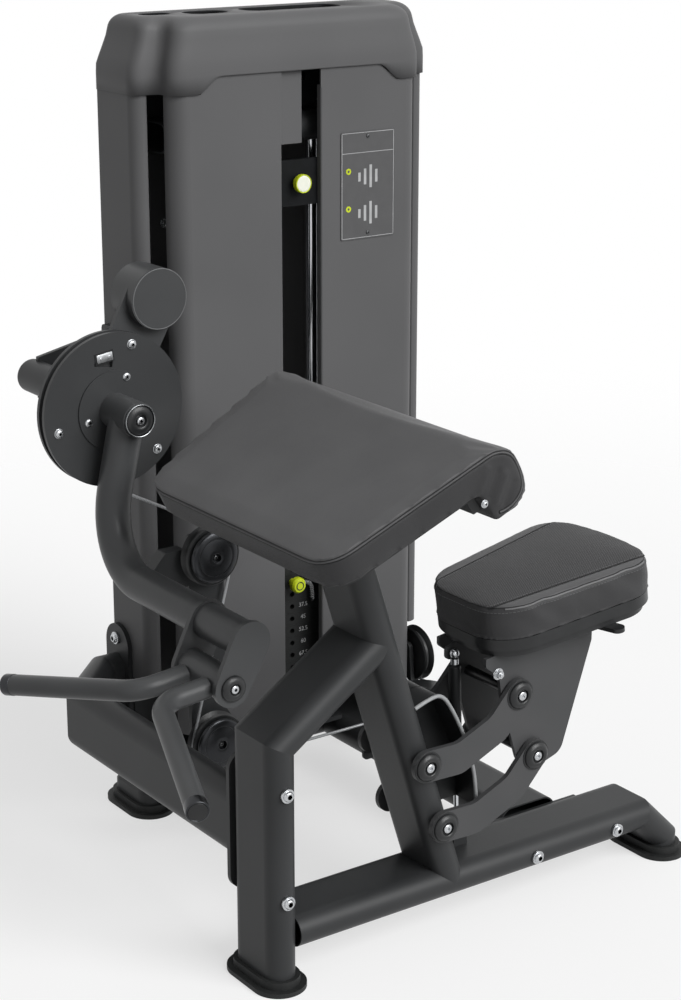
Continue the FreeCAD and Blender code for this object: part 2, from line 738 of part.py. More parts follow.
def base_rail_form(name):
    """The solid outside shape of the tower's floor rail, with its two sloping tails."""
    left = s.tower_axis - s.tower_foot
    right = s.tower_axis + s.tower_foot
    turn_z = s.rail_axis - s.tail_run
    rail = new_body(name)
    path = Drawing(rail, "XZ_Plane", -s.tower_base).outline(
        [(left, s.shoe_base), (left, turn_z), (left + s.tail_run, s.rail_axis),
         (right - s.tail_run, s.rail_axis), (right, turn_z), (right, s.shoe_base)], closed=False)
    pipe(rail, tube_ring(rail, "XY_Plane", (left, s.tower_base), s.shoe_base, tall=True), path)
    return rail, path


def tower_frame():
    """Floor rail, uprights, top beam and guide rods of the weight tower."""
    left = s.tower_axis - s.tower_foot
    right = s.tower_axis + s.tower_foot
    rail, path = base_rail_form("tower_base_rail")
    inside = tube_ring(rail, "XY_Plane", (left, s.tower_base), s.shoe_base, s.tube_wall, tall=True)
    pipe(rail, inside, path, cut=True)
    node("tower_base_rail", rail)
    rubber_shoe("tower_shoe_left", left, s.tower_base)
    rubber_shoe("tower_shoe_right", right, s.tower_base)

    half = s.upright_side / 2
    for name, sign in (("upright_left", -1), ("upright_right", 1)):
        post = new_body(name)
        middle = s.tower_axis + upright_x * sign
        for shrink, feature in ((0, pad), (s.tube_wall, pocket)):
            x, y = half - shrink, half - shrink
            ring = Drawing(post, "XY_Plane", rail_top if feature is pad else s.cap_skirt)
            ring.outline([(middle - x, s.upright_axis - y), (middle + x, s.upright_axis - y),
                          (middle + x, s.upright_axis + y), (middle - x, s.upright_axis + y)])
            feature(post, ring, s.cap_skirt - rail_top)
        node(name, post)
    feet = []
    for sign in (-1, 1):
        middle = s.tower_axis + upright_x * sign
        feet.append(box("upright_foot", middle - half, s.upright_axis - half, s.rail_axis,
                        s.upright_side, s.upright_side, half_tube))

    span = upright_x * 2 - s.upright_side
    beam = new_body("top_beam")
    start = s.tower_axis - span / 2
    pad(beam, tube_ring(beam, "YZ_Plane", (s.beam_axis_y, s.beam_axis_z), start), span)
    inside = tube_ring(beam, "YZ_Plane", (s.beam_axis_y, s.beam_axis_z), start + span, s.tube_wall)
    pocket(beam, inside, span)
    opening = Drawing(beam, "XY_Plane", s.beam_axis_z + half_tube)
    opening.circle(s.tower_axis, s.stack_plane, s.stem_radius)
    pocket(beam, opening, s.tube_thick)
    node("top_beam", beam)

    rods, bumpers = [], []
    rod_low = rail_top + s.plate_thick
    rod_high = s.beam_axis_z - half_tube
    for sign in (-1, 1):
        x = s.tower_axis + s.rod_spacing / 2 * sign
        rod = new_body("guide_rod")
        pad(rod, Drawing(rod, "XY_Plane", rod_low).circle(x, s.stack_plane, s.rod_radius),
            rod_high - rod_low)
        rods.append(rod)
        ring = new_body("bumper")
        reach = s.stack_low - s.part_gap - rod_low
        face = Drawing(ring, "XZ_Plane").outline([
            (s.rod_radius, 0), (s.rod_radius * 2.4, 0, s.washer_thick),
            (s.rod_radius * 1.9, reach / 2, s.washer_thick),
            (s.rod_radius * 2.4, reach, s.washer_thick), (s.rod_radius, reach)])
        revolve(ring, face)
        place(ring, x, s.stack_plane, rod_low)
        bumpers.append(ring)
    group("guide_rods", rods)
    group("stack_bumpers", bumpers)
    half_plate = s.plate_wide / 2
    near = s.stack_plane - s.plate_deep / 2
    far = s.tower_rear - s.cover_wall - s.part_gap
    node("rod_base_plate", plate_z("rod_base_plate", [
        (s.tower_axis - half_plate, near, s.plate_thick), (s.tower_axis + half_plate, near, s.plate_thick),
        (s.tower_axis + half_plate, far), (s.tower_axis - half_plate, far)], rail_top, s.plate_thick))


def side_shell(name, sign):
    """One moulded side shell, open towards the rear and the stack."""
    outer = s.tower_wide / 2
    wall = s.cover_wall
    inner = outer - s.shell_face
    rear = s.tower_rear - wall
    lip = s.shell_front + s.washer_thick * 5
    turn = s.shell_round
    shape = [(outer, rear), (outer, s.shell_front, turn), (inner, s.shell_front, wall),
             (inner, lip), (inner + wall, lip), (inner + wall, s.shell_front + wall),
             (outer - wall, s.shell_front + wall, turn - wall), (outer - wall, rear)]
    corners = [(s.tower_axis + c[0] * sign,) + c[1:] for c in shape]
    body = plate_z(name, corners, s.shell_bottom, s.cap_skirt - s.part_gap - s.shell_bottom)
    return node(name, body)


def front_cover(name, sign, slot):
    """One moulded front cover with a folded outer side and a folded slot edge."""
    outer = panel_half
    wall = s.cover_wall
    front = s.tower_front
    deep = front + s.cover_deep
    slot_deep = front + s.cover_deep / 3
    turn = s.cover_round
    shape = [(outer, deep), (outer, front, turn), (slot, front, wall), (slot, slot_deep),
             (slot + wall, slot_deep), (slot + wall, front + wall),
             (outer - wall, front + wall, turn - wall),
             (outer - wall, deep)]
    corners = [(s.tower_axis + c[0] * sign,) + c[1:] for c in shape]
    body = plate_z(name, corners, s.cover_bottom, s.cap_skirt - s.part_gap - s.cover_bottom)
    low = s.cap_skirt - s.part_gap - s.overrun
    edge = arch_corners(low, s.part_gap)
    tab = [(slot, low)] + edge + [(slot, s.cap_seam - s.part_gap)]
    face = Drawing(body, "XZ_Plane", -(front + wall))
    pad(body, face.outline([(s.tower_axis + c[0] * sign,) + tuple(c[1:]) for c in tab]), wall)
    return node(name, body)


def tower_covers():
    """Front covers beside the slot, side shells, rear cover and the moulded top cap."""
    front_cover("front_cover_left", -1, s.slot_left)
    front_cover("front_cover_right", 1, s.slot_right)
    left, right = s.tower_axis - s.slot_left, s.tower_axis + s.cable_radius * 2
    low, high = s.slot_panel_low, s.cap_seam - s.part_gap
    node("slot_panel", plate_y("slot_panel", [(left, low), (right, low), (right, high), (left, high)],
                               s.tower_front + s.cover_wall * 2 + s.washer_thick, s.washer_thick))
    side_shell("side_shell_left", -1)
    side_shell("side_shell_right", 1)
    rear = s.tower_rear - s.cover_wall
    half = s.tower_wide / 2
    node("rear_cover", plate_z("rear_cover", [
        (s.tower_axis - half, rear), (s.tower_axis + half, rear),
        (s.tower_axis + half, s.tower_rear, s.cover_wall / 2),
        (s.tower_axis - half, s.tower_rear, s.cover_wall / 2)],
        rail_top, s.cap_skirt - s.part_gap - rail_top))
    top_cap()


def cap_outline(grow):
    """The cap's plan: a front lobe over the covers and two side lobes over the side shells."""
    outer = s.tower_wide / 2 + s.cap_proud + grow
    lobe = panel_half + s.cap_proud + grow
    front = s.tower_front - s.cap_proud - grow
    side = s.shell_front - s.cap_proud - grow
    rear = s.tower_rear + s.cap_proud + grow
    turn = s.cover_round + grow
    right = [(lobe, front, turn), (lobe, side, turn / 3), (outer, side, turn * 0.6),
        (outer, rear, turn / 3)]
    left = [(-c[0],) + c[1:] for c in reversed(right)]
    return [(s.tower_axis + c[0],) + tuple(c[1:]) for c in left + right]


def arch_corners(low, gap):
    """Half of the arch in the cap's front edge, from below to its top, less a gap."""
    soft = (s.cap_seam - s.cap_skirt) / 2
    wide, slant = panel_half * 0.66 - gap, panel_half * 0.8 - gap
    return [(slant, low), (slant, s.cap_skirt, soft / 2), (wide, s.cap_seam - gap, soft)]


def top_cap():
    """Moulded cap with leaning shoulders, a rounded top edge and open trays."""
    body = new_body("top_cap")
    tall = s.tower_top - s.cap_skirt
    outside = pad(body, Drawing(body, "XY_Plane", s.cap_skirt).outline(cap_outline(0)), tall)
    for sign in (-1, 1):
        outer = s.tower_wide / 2 + s.cap_proud
        wedge = Drawing(body, "XZ_Plane", -(s.tower_rear + s.tube_wide))
        corners = [(outer + s.overrun, s.cap_shoulder), (outer, s.cap_shoulder),
                   (outer - s.cap_lean, s.tower_top), (outer - s.cap_lean, s.tower_top + s.overrun),
                   (outer + s.overrun, s.tower_top + s.overrun)]
        wedge.outline([(s.tower_axis + c[0] * sign, c[1]) for c in corners])
        outside = pocket(body, wedge, s.tower_rear, True)
    round_top(body, outside, s.cap_round)
    deep = (s.tower_top - s.cap_shoulder) * 0.4
    for inset, tall in ((s.cover_wall * 5, deep), (s.cover_wall, -s.cover_wall * 2)):
        hollow = Drawing(body, "XY_Plane", s.cap_skirt).outline(cap_outline(-inset))
        pocket(body, hollow, s.cap_shoulder - s.cap_skirt + tall, True)
    arch = Drawing(body, "XZ_Plane", -(s.tower_front - s.cap_proud * 2))
    right = arch_corners(s.cap_skirt - s.overrun, 0)
    arch.outline([(s.tower_axis + x, *rest) for x, *rest in right]
                 + [(s.tower_axis - x, *rest) for x, *rest in reversed(right)])
    pocket(body, arch, s.cap_proud * 2 + s.cover_wall * 2)
    trays = ((-0.80, 0.045, 0.06), (-0.46, 0.10, 0.12), (0.18, 0.34, 0.12))
    middle = (s.tower_front + s.tower_rear) / 2
    half = s.tower_wide / 2
    for place_share, half_share, deep_share in trays:
        tray = Drawing(body, "XY_Plane", s.tower_top)
        x, reach, deep = half * place_share, half * half_share, half * deep_share
        tray.stadium(s.tower_axis + x - reach, middle, s.tower_axis + x + reach, middle, deep)
        pocket(body, tray, (s.tower_top - s.cap_shoulder) / 2)
    node("top_cap", body)


def weight_plate(name, level, wide, deep, thick):
    """One weight plate with rod holes, a stem hole and a selector pin hole."""
    body = new_body(name)
    x, y = s.tower_axis, s.stack_plane
    corner = s.rod_radius
    face = Drawing(body, "XY_Plane", level)
    face.outline([(x - wide / 2, y - deep / 2, corner), (x + wide / 2, y - deep / 2, corner),
                  (x + wide / 2, y + deep / 2, corner), (x - wide / 2, y + deep / 2, corner)])
    for sign in (-1, 1):
        face.circle(x + s.rod_spacing / 2 * sign, y, s.rod_radius + s.pin_gap * 10)
    face.circle(x, y, s.stem_radius + s.part_gap)
    pad(body, face, thick)
    slot = Drawing(body, "XZ_Plane", -(y - deep / 2))
    slot.circle(x, level + thick / 2, s.pin_hole_radius)
    pocket(body, slot, deep / 2)
    return body


def weight_stack():
    """Resting plates, lifted plate with its stem, selector pin and the increment carriage."""
    resting = 10
    lifted = 3
    plates = []
    for index in range(resting):
        level = s.stack_low + s.weight_pitch * index
        plates.append(weight_plate("weight_plate", level, s.plate_wide, s.plate_deep, s.weight_thick))
    group("resting_plates", plates)
    top_level = s.stack_low + s.weight_pitch * resting
    upper = []
    for index in range(resting, resting + lifted):
        level = s.stack_low + s.weight_pitch * index
        upper.append(weight_plate("top_plate", level, s.plate_wide, s.plate_deep, s.weight_thick))
    group("lifted_plates", upper)
    stem = new_body("stack_stem")
    x, y = s.tower_axis, s.stack_plane
    low = s.stack_low + s.weight_pitch
    high = top_level + s.weight_pitch * lifted + s.tube_thick
    pad(stem, Drawing(stem, "XY_Plane", low).circle(x, y, s.stem_radius), high - low)
    for index in range(1, resting + 1):
        hole = Drawing(stem, "XZ_Plane", -(y + s.tube_wide))
        hole.circle(x, s.stack_low + s.weight_pitch * index + s.weight_thick / 2, s.pin_hole_radius)
        pocket(stem, hole, s.tube_wide * 2, True)
    node("stack_stem", stem)
    return top_level, high


def selector_pin(top_level):
    """Selector pin with its round head, in the lifted plate."""
    face = s.stack_plane - s.plate_deep / 2
    pin_radius = s.pin_hole_radius - s.pin_gap
    knob = s.stem_radius * 1.3
    turned = turned_y("selector_pin", [
        (0, 0), (knob * 0.82, 0, s.washer_thick * 0.7), (knob, knob * 0.3, s.washer_thick * 0.7),
        (knob, knob * 0.9, s.washer_thick), (knob * 0.5, knob * 1.3, s.washer_thick / 3),
        (knob * 0.5, knob * 1.8), (pin_radius, knob * 1.8),
        (pin_radius, s.plate_deep / 2 + knob * 1.8), (0, s.plate_deep / 2 + knob * 1.8)],
        s.tower_axis, face - s.part_gap - knob * 1.8, top_level + s.weight_thick / 2)
    node("selector_pin", turned)


def arm_frame(thing, x=0, z=0, turn=0):
    """Places a piece drawn in the arm's own frame, whose origin is on the pivot axis."""
    px = s.pivot_x + x * cosine(s.arm_tilt) + z * sine(s.arm_tilt)
    pz = s.pivot_z - x * sine(s.arm_tilt) + z * cosine(s.arm_tilt)
    return place(thing, px, 0, pz, (0, 1, 0), s.arm_tilt + turn)


def exercise_arm():
    """Cam disc, hub, bent arm tube, end plates, counterweight and the pivot shaft."""
    front, plate = s.cam_front, s.cam_plate
    rim = new_body("cam_disc")
    back = front + plate * 2 + s.cable_radius * 4
    for y_far, thick, radius in ((front + plate, plate, s.cam_radius),
                                 (back - plate, s.cable_radius * 4,
                                 s.groove_radius - s.cable_radius - s.part_gap),
                                 (back, plate, s.cam_radius)):
        pad(rim, Drawing(rim, "XZ_Plane", -y_far).circle(0, 0, radius), thick)
    window = Drawing(rim, "XZ_Plane", -front)
    wide, tall = s.cam_radius * 0.13, s.cam_radius * 0.075
    at_x, at_z = -s.cam_radius * 0.24, s.cam_radius * 0.62
    window.outline([(at_x - wide, at_z - tall), (at_x + wide, at_z - tall),
                    (at_x + wide, at_z + tall), (at_x - wide, at_z + tall)])
    pocket(rim, window, plate)
    node("cam_plates", arm_frame(rim))
    clamp = new_body("cable_clamp")
    wide, tall = wide - s.cable_radius / 2, tall - s.cable_radius / 2
    face = Drawing(clamp, "XZ_Plane", -(front + plate))
    turn = s.cable_radius / 3
    face.outline([(at_x - wide, at_z - tall, turn), (at_x + wide, at_z - tall, turn),
                  (at_x + wide, at_z + tall, turn), (at_x - wide, at_z + tall, turn)])
    pad(clamp, face, plate)
    node("cable_clamp", arm_frame(clamp))

    boss = new_body("hub_plate")
    pad(boss, Drawing(boss, "XZ_Plane", -front).circle(0, 0, s.cam_radius * 0.52), s.washer_thick)
    node("hub_plate", arm_frame(boss))

    hub = new_body("arm_tube")
    near = front - s.washer_thick
    pad(hub, Drawing(hub, "XZ_Plane", -near).circle(0, 0, s.hub_radius), s.hub_long)
    start = near - s.hub_long / 2
    path = Drawing(hub, "YZ_Plane").outline(
        [(start, 0), (start + s.hub_radius * 0.6, -s.arm_drop, s.arm_bend), (-s.fork_half, -s.arm_drop)],
        closed=False)
    section = Drawing(hub, "XY_Plane").circle(0, start, s.arm_tube_radius)
    pipe(hub, section, path, "Transformed")
    trim = disc_y("tube_trim", 0, -s.arm_drop, s.arm_tube_radius * 2, s.fork_plate - s.fork_half,
        s.fork_plate * 3)
    node("arm_tube", arm_frame(cut("arm_tube", hub, [trim])))
    cap = new_body("hub_cap")
    revolve(cap, Drawing(cap, "XZ_Plane").outline([
        (0, 0), (s.hub_radius * 0.94, 0), (s.hub_radius * 0.94, -s.washer_thick, s.washer_thick / 3),
        (s.hub_radius * 0.3, -s.cam_plate, s.cam_plate / 2), (0, -s.cam_plate)]))
    node("hub_cap", place(cap, s.pivot_x, near - s.hub_long, s.pivot_z, (1, 0, 0), -90))

    for name, sign in (("fork_plate_front", -1), ("fork_plate_rear", 1)):
        fork = new_body(name)
        far = -s.fork_half + s.fork_plate if sign < 0 else s.fork_half
        face = Drawing(fork, "XZ_Plane", -far)
        face.stadium(0, -s.arm_drop, s.swivel_x, s.swivel_z, s.fork_radius, s.fork_radius * 0.92)
        if sign > 0:
            face.circle(0, -s.arm_drop, s.arm_tube_radius + s.pin_gap)
        pad(fork, face, s.fork_plate)
        node(name, arm_frame(fork))

    carrier = new_body("counterweight_arm")
    reach_x, reach_z = s.weight_x, s.weight_z
    face = Drawing(carrier, "XZ_Plane", -(back + s.fork_plate))
    face.stadium(0, 0, reach_x, reach_z, s.hub_radius * 1.6, s.weight_radius)
    pad(carrier, face, s.fork_plate)
    node("counterweight_plate", arm_frame(carrier))
    mass = new_body("counterweight")
    behind = s.weight_long - (back - front) + s.cam_plate
    for y_far, thick in ((back, back - front - s.cam_plate), (back + s.fork_plate + behind, behind)):
        pad(mass, Drawing(mass, "XZ_Plane", -y_far).circle(reach_x, reach_z, s.weight_radius), thick)
    node("counterweight_mass", arm_frame(mass))
    shaft = disc_y("pivot_shaft", s.pivot_x, s.pivot_z, s.shaft_radius, s.housing_back - s.plate_thick / 2,
                   s.housing_back - s.plate_thick / 2 - back - s.fork_plate)
    node("pivot_shaft", shaft)
    return back


def pivot_support(back):
    """Fixed housing of the pivot shaft and the bracket that carries it from the tower."""
    near = back + s.fork_plate + s.part_gap
    x, z = s.pivot_x, s.pivot_z
    tube = disc_y("pivot_housing", x, z, s.hub_radius, s.housing_back, s.housing_back - near,
        s.hub_radius * 0.8)
    node("housing_tube", tube)
    wide = s.tube_thick / 3
    bearings = []
    for y_far in (near + wide + s.plate_thick, s.housing_back - s.plate_thick):
        bearings.append(disc_y("pivot_bearing", x, z, s.hub_radius * 0.8, y_far, wide,
                               s.shaft_radius + s.pin_gap))
    group("pivot_bearings", bearings)
    node("housing_cap", disc_y("housing_cap", x, z, s.hub_radius, s.housing_back + s.plate_thick / 2,
        s.plate_thick / 2))
    webs = []
    inner = shell_left - s.plate_thick
    for y_far in (s.upright_axis - s.tube_wide + s.plate_thick, s.upright_axis + s.plate_thick):
        web = plate_y("pivot_web", [
            (x, z + s.hub_radius * 1.25), (x, z - s.hub_radius * 1.25),
            (inner, z - s.hub_radius * 2.3), (inner, z + s.hub_radius * 2.3)], y_far, s.plate_thick)
        drill = disc_y("web_drill", x, z, s.hub_radius, y_far + s.overrun, s.plate_thick + s.overrun * 2)
        webs.append(cut("pivot_web", web, [drill]))
    group("pivot_webs", webs)
    near_side, far_side = s.upright_axis - s.tube_wide, s.upright_axis + s.hub_radius
    low, high = z - s.hub_radius * 2.5, z + s.hub_radius * 2.5
    turn = s.plate_thick
    node("pivot_mount", plate_x("pivot_mount", [
        (near_side, low, turn), (far_side, low, turn), (far_side, high, turn), (near_side, high, turn)],
        inner, s.plate_thick - s.part_gap))


def swivel_point():
    x = s.pivot_x + s.swivel_x * cosine(s.arm_tilt) + s.swivel_z * sine(s.arm_tilt)
    z = s.pivot_z - s.swivel_x * sine(s.arm_tilt) + s.swivel_z * cosine(s.arm_tilt)
    return x, z


def handle_piece(label, body):
    """Sets a piece drawn along a grip on both sides of the handle, splayed, fallen and dipped."""
    x, z = swivel_point()
    place(body, -s.handle_stem, 0, 0, (0, 0, 1), s.handle_splay)
    tilted = document.addObject("Part::Compound", label + "_tilted")
    tilted.Links = [body]
    place(tilted, 0, s.stem_half, 0, (1, 0, 0), -s.handle_fall)
    place(both_sides(label, tilted), x, 0, z, (0, 1, 0), -s.handle_dip)


def handle():
    """Swivelling handle: barrel between the end plates, two stems and angled grips."""
    x, z = swivel_point()
    inside = s.fork_half - s.fork_plate - s.part_gap
    node("handle_barrel", disc_y("handle_barrel", x, z, s.barrel_radius, inside, inside * 2))
    end = s.handle_grip - s.grip_ring - s.grip_cap
    bar = new_body("handle_bar")
    stem_x = (s.handle_stem - s.barrel_radius) * cosine(s.handle_splay)
    stem_y = (s.handle_stem - s.barrel_radius) * sine(s.handle_splay)
    path = Drawing(bar, "XY_Plane").outline(
        [(0, end), (0, 0, s.handle_bend), (stem_x, -stem_y)], closed=False)
    pipe(bar, Drawing(bar, "XZ_Plane", -end).circle(0, 0, s.grip_radius), path, "Transformed")
    handle_piece("bent_bars", bar)
    ring = new_body("grip_ring")
    pad(ring, Drawing(ring, "XZ_Plane", -(end + s.grip_ring)).circle(
        0, 0, s.grip_radius + s.washer_thick / 2), s.grip_ring)
    handle_piece("grip_rings", ring)
    cap = new_body("grip_cap")
    pad(cap, Drawing(cap, "XZ_Plane", -s.handle_grip).circle(0, 0, s.grip_radius), s.grip_cap)
    handle_piece("grip_end_caps", cap)
    caps = []
    for y_near in (-s.fork_half, s.fork_half + s.pin_cap_tall):
        caps.append(disc_y("swivel_cap", x, z, s.grip_radius, y_near, s.pin_cap_tall))
    group("swivel_caps", caps)


def pulley(name, x, y, z, axis, angle):
    """A cable pulley about its own axis, placed in the cable's plane."""
    half, edge, groove, bore = s.pulley_half, s.pulley_radius, s.pulley_groove, s.pulley_bore
    hub = half + s.washer_thick / 2
    flank = half * 0.75
    floor = groove - s.cable_radius - s.part_gap
    side = [(bore + s.pin_gap, hub), (bore * 2.2, hub), (bore * 2.2, half),
        (edge - s.washer_thick, half), (edge, flank),
            (floor, s.cable_radius), (floor, -s.cable_radius), (edge, -flank),
            (edge - s.washer_thick, -half),
            (bore * 2.2, -half), (bore * 2.2, -hub), (bore + s.pin_gap, -hub)]
    body = new_body(name)
    revolve(body, Drawing(body, "XZ_Plane").outline(side))
    node(name, place(body, x, y, z, axis, angle))


def turn_corner(x, z, radius, before, after):
    """The corner of a cable path that turns round a wheel between two headings."""
    reach = radius / (1 + cosine(after - before))
    return (x - (sine(before) + sine(after)) * reach,
            z + (cosine(before) + cosine(after)) * reach)


def cable_path():
    """Headings and corners of the cable from the cam to the lower pulley."""
    ux, uz, lx, lz = s.upper_pulley_x, s.upper_pulley_z, s.lower_pulley_x, s.lower_pulley_z
    far_x, far_z = ux - s.pivot_x, uz - s.pivot_z
    span = root(far_x * far_x + far_z * far_z)
    first = heading(far_z, far_x) + angle_of_sine((s.groove_radius + s.pulley_groove) / span)
    fall_x, fall_z = lx - ux, lz - uz
    span = root(fall_x * fall_x + fall_z * fall_z)
    second = heading(fall_z, fall_x) - angle_of_sine(s.pulley_groove * 2 / span)
    level = Size(0, "(0 deg)")
    half_turn = Size(-180, "(0 deg - 180 deg)")
    return [(s.pivot_x + s.cable_radius * 2, s.pivot_z + s.groove_radius),
            turn_corner(s.pivot_x, s.pivot_z, -s.groove_radius, half_turn, first) + (s.groove_radius,),
            turn_corner(ux, uz, s.pulley_groove, first, second) + (s.pulley_groove,),
            turn_corner(lx, lz, -s.pulley_groove, second, level) + (s.pulley_groove,),
            (s.turn_pulley_x - s.cable_radius * 2, low_cable)]


def cable():
    """The steel cable along its whole route, from the cam to the selector stem."""
    y, z, x = cable_plane, low_cable, stack_cable_x
    bend = s.pulley_groove
    thick = s.cable_radius
    high = s.top_pulley_z + bend
    left = s.tower_axis
    lead = s.cable_radius * 2
    first_x = s.turn_pulley_x - lead
    rear_y = rear_pulley_y - lead
    rise = s.top_pulley_z - lead
    runs = []
    for name, role, offset, corners, start_role, start, start_offset in (
            ("cable_front", "XZ_Plane", -y, cable_path(), "YZ_Plane",
             (y, s.pivot_z + s.groove_radius), s.pivot_x + s.cable_radius * 2),
            ("cable_low", "XY_Plane", z, [(first_x, y), (x, y, bend), (x, rear_y)],
             "YZ_Plane", (y, z), first_x),
            ("cable_rear", "YZ_Plane", x, [(rear_y, z), (s.stack_plane, z, bend), (s.stack_plane, rise)],
             "XZ_Plane", (x, z), -rear_y),
            ("cable_top", "XZ_Plane", -s.stack_plane,
             [(x, rise), (x, high, bend), (left, high, bend), (left, s.top_pulley_z - s.pulley_radius)],
             "XY_Plane", (x, s.stack_plane), rise)):
        body = new_body(name)
        path = Drawing(body, role, offset).outline(corners, closed=False)
        pipe(body, Drawing(body, start_role, start_offset).circle(start[0], start[1], thick), path,
            "Transformed")
        runs.append(body)
    node("cable", fused("cable", runs))


def cable_run():
    """Cable pulleys, their axles, post and brackets."""
    y, z = cable_plane, low_cable
    pulley("upper_pulley", s.upper_pulley_x, y, s.upper_pulley_z, (1, 0, 0), -90)
    pulley("lower_pulley", s.lower_pulley_x, y, s.lower_pulley_z, (1, 0, 0), -90)
    pulley("turn_pulley", s.turn_pulley_x, y + s.pulley_groove, z, (1, 0, 0), 0)
    pulley("rear_pulley", stack_cable_x, rear_pulley_y, s.lower_pulley_z, (0, 1, 0), 90)
    pulley("top_pulley_right", s.turn_pulley_x, s.stack_plane, s.top_pulley_z, (1, 0, 0), -90)
    pulley("top_pulley_left", s.tower_axis + s.pulley_groove, s.stack_plane, s.top_pulley_z, (1, 0, 0), -90)
    face = y + s.pulley_half + s.washer_thick / 2 + s.part_gap
    left, right = s.upper_pulley_x - s.pulley_radius * 0.66, s.upper_pulley_x + s.pulley_radius * 0.66
    foot = shell_left + s.tube_wide
    top = s.upper_pulley_z + s.pulley_radius * 0.7
    turn = s.plate_thick
    post_left = foot - s.upright_side * 0.7
    post_right = foot + s.upright_side * 0.3
    node("post_plate", plate_y("post_plate", [
        (left, top, turn), (right, top, turn), (right, s.lower_pulley_z + s.pulley_radius, turn),
        (post_right + s.upright_side / 2, rail_top, turn),
        (post_right + s.upright_side / 2, s.rail_axis - half_tube, turn),
        (post_left, s.rail_axis - half_tube, turn), (left, s.lower_pulley_z - s.pulley_radius, turn)],
        face + s.plate_thick, s.plate_thick))
    deep = s.tower_base - half_wide - face - s.plate_thick
    node("post_arm", box("post_arm", post_left, face + s.plate_thick, s.rail_axis - half_tube,
                         s.upright_side, deep, s.tube_thick))
    hub = s.pulley_half + s.washer_thick / 2
    axles = []
    for x, height in ((s.upper_pulley_x, s.upper_pulley_z), (s.lower_pulley_x, s.lower_pulley_z)):
        axles.append(disc_y("axle", x, height, s.pulley_bore, face, hub * 2 + s.part_gap * 2))
        axles.append(disc_y("axle_cap", x, height, s.pulley_radius * 0.55, y - hub - s.part_gap,
            s.washer_thick))
    back = s.stack_plane + hub + s.part_gap
    for x in (s.turn_pulley_x, s.tower_axis + s.pulley_groove):
        axles.append(disc_y("axle", x, s.top_pulley_z, s.pulley_bore, back, hub * 2 + s.plate_thick / 2))
    group("level_axles", axles)
    node("top_pulley_bracket", plate_y("top_pulley_bracket", [
        (s.tower_axis + s.rod_radius, s.beam_axis_z + half_tube),
        (s.turn_pulley_x + half_tube / 2, s.beam_axis_z + half_tube),
        (s.turn_pulley_x + half_tube / 2, s.top_pulley_z + half_tube / 2, turn),
        (s.tower_axis + s.rod_radius, s.top_pulley_z + half_tube / 2, turn)],
        back + s.plate_thick, s.plate_thick))

    post = new_body("turn_post")
    seat = z - hub - s.part_gap
    base = rail_top + s.plate_thick * 0.6
    pad(post, Drawing(post, "XY_Plane", base).circle(
        s.turn_pulley_x, y + s.pulley_groove, s.pulley_bore * 2), seat - base)
    pad(post, Drawing(post, "XY_Plane", base).circle(
        s.turn_pulley_x, y + s.pulley_groove, s.pulley_bore), z + hub + s.washer_thick - base)
    node("turn_post", post)
    node("turn_bracket", plate_z("turn_bracket", [
        (s.cross_axis - half_tube, y, turn), (s.turn_pulley_x + half_tube, y, turn),
        (s.turn_pulley_x + half_tube, y + s.pulley_groove * 2, turn),
        (s.cross_axis - half_tube, y + s.pulley_groove * 2, turn)],
        rail_top, s.plate_thick * 0.6))
    node("rear_bracket", plate_x("rear_bracket", [
        (rear_pulley_y - half_tube, rail_top, turn), (s.stack_plane + half_tube, rail_top, turn),
        (s.stack_plane + half_tube, s.lower_pulley_z - half_tube, turn),
        (rear_pulley_y + half_tube / 2, s.lower_pulley_z + half_tube, turn),
        (rear_pulley_y - half_tube / 2, s.lower_pulley_z + half_tube, turn)],
        stack_cable_x - hub - s.part_gap - s.plate_thick, s.plate_thick))
    pin = new_body("rear_axle")
    pad(pin, Drawing(pin, "YZ_Plane", stack_cable_x - hub - s.part_gap).circle(
        rear_pulley_y, s.lower_pulley_z, s.pulley_bore), hub * 2 + s.washer_thick)
    node("rear_axle", pin)
    roller_z = z - s.cable_radius - s.roller_radius + s.washer_thick / 2
    node("guide_roller", disc_y("guide_roller", s.roller_x, roller_z,
        s.roller_radius - s.washer_thick / 2 - s.part_gap,
                                y + s.pulley_half, s.pulley_half * 2, s.pulley_bore + s.pin_gap))
    arm_y = y + s.pulley_half + s.part_gap
    mounts = [disc_y("roller_axle", s.roller_x, roller_z, s.pulley_bore, arm_y,
        s.pulley_half * 2 + s.part_gap + s.washer_thick)]
    mounts.append(plate_y("roller_arm", [
        (s.roller_x - s.pulley_bore * 2, roller_z + s.pulley_bore * 2, turn),
        (s.roller_x - s.pulley_bore * 2, s.rail_axis, turn),
        (s.cross_axis - half_wide, s.rail_axis),
        (s.cross_axis - half_wide, roller_z + s.pulley_bore, turn)],
        arm_y + s.plate_thick * 0.6, s.plate_thick * 0.6))
    group("roller_arm", mounts)
    block = plate_y("stop_block", [
        (s.upper_pulley_x - s.pulley_radius * 2, s.upper_pulley_z - s.pulley_radius),
        (left - s.part_gap, s.upper_pulley_z - s.pulley_radius),
        (left - s.part_gap, s.upper_pulley_z + s.roller_radius / 2, turn),
        (s.upper_pulley_x - s.pulley_radius * 1.5, s.upper_pulley_z + s.roller_radius / 2, turn),
        (s.upper_pulley_x - s.pulley_radius * 2, s.upper_pulley_z - s.roller_radius / 2, turn)],
        face + half_tube, half_tube)
    node("stop_block", block)


def column_pivots():
    """The two seat link pivots on the leaning column."""
    drop = s.pivot_spacing
    x = s.column_foot - (s.upper_pivot_z - rail_top) * tangent(s.column_lean)
    return ((x, s.upper_pivot_z),
            (x + drop * sine(s.column_lean), s.upper_pivot_z - drop * cosine(s.column_lean)))


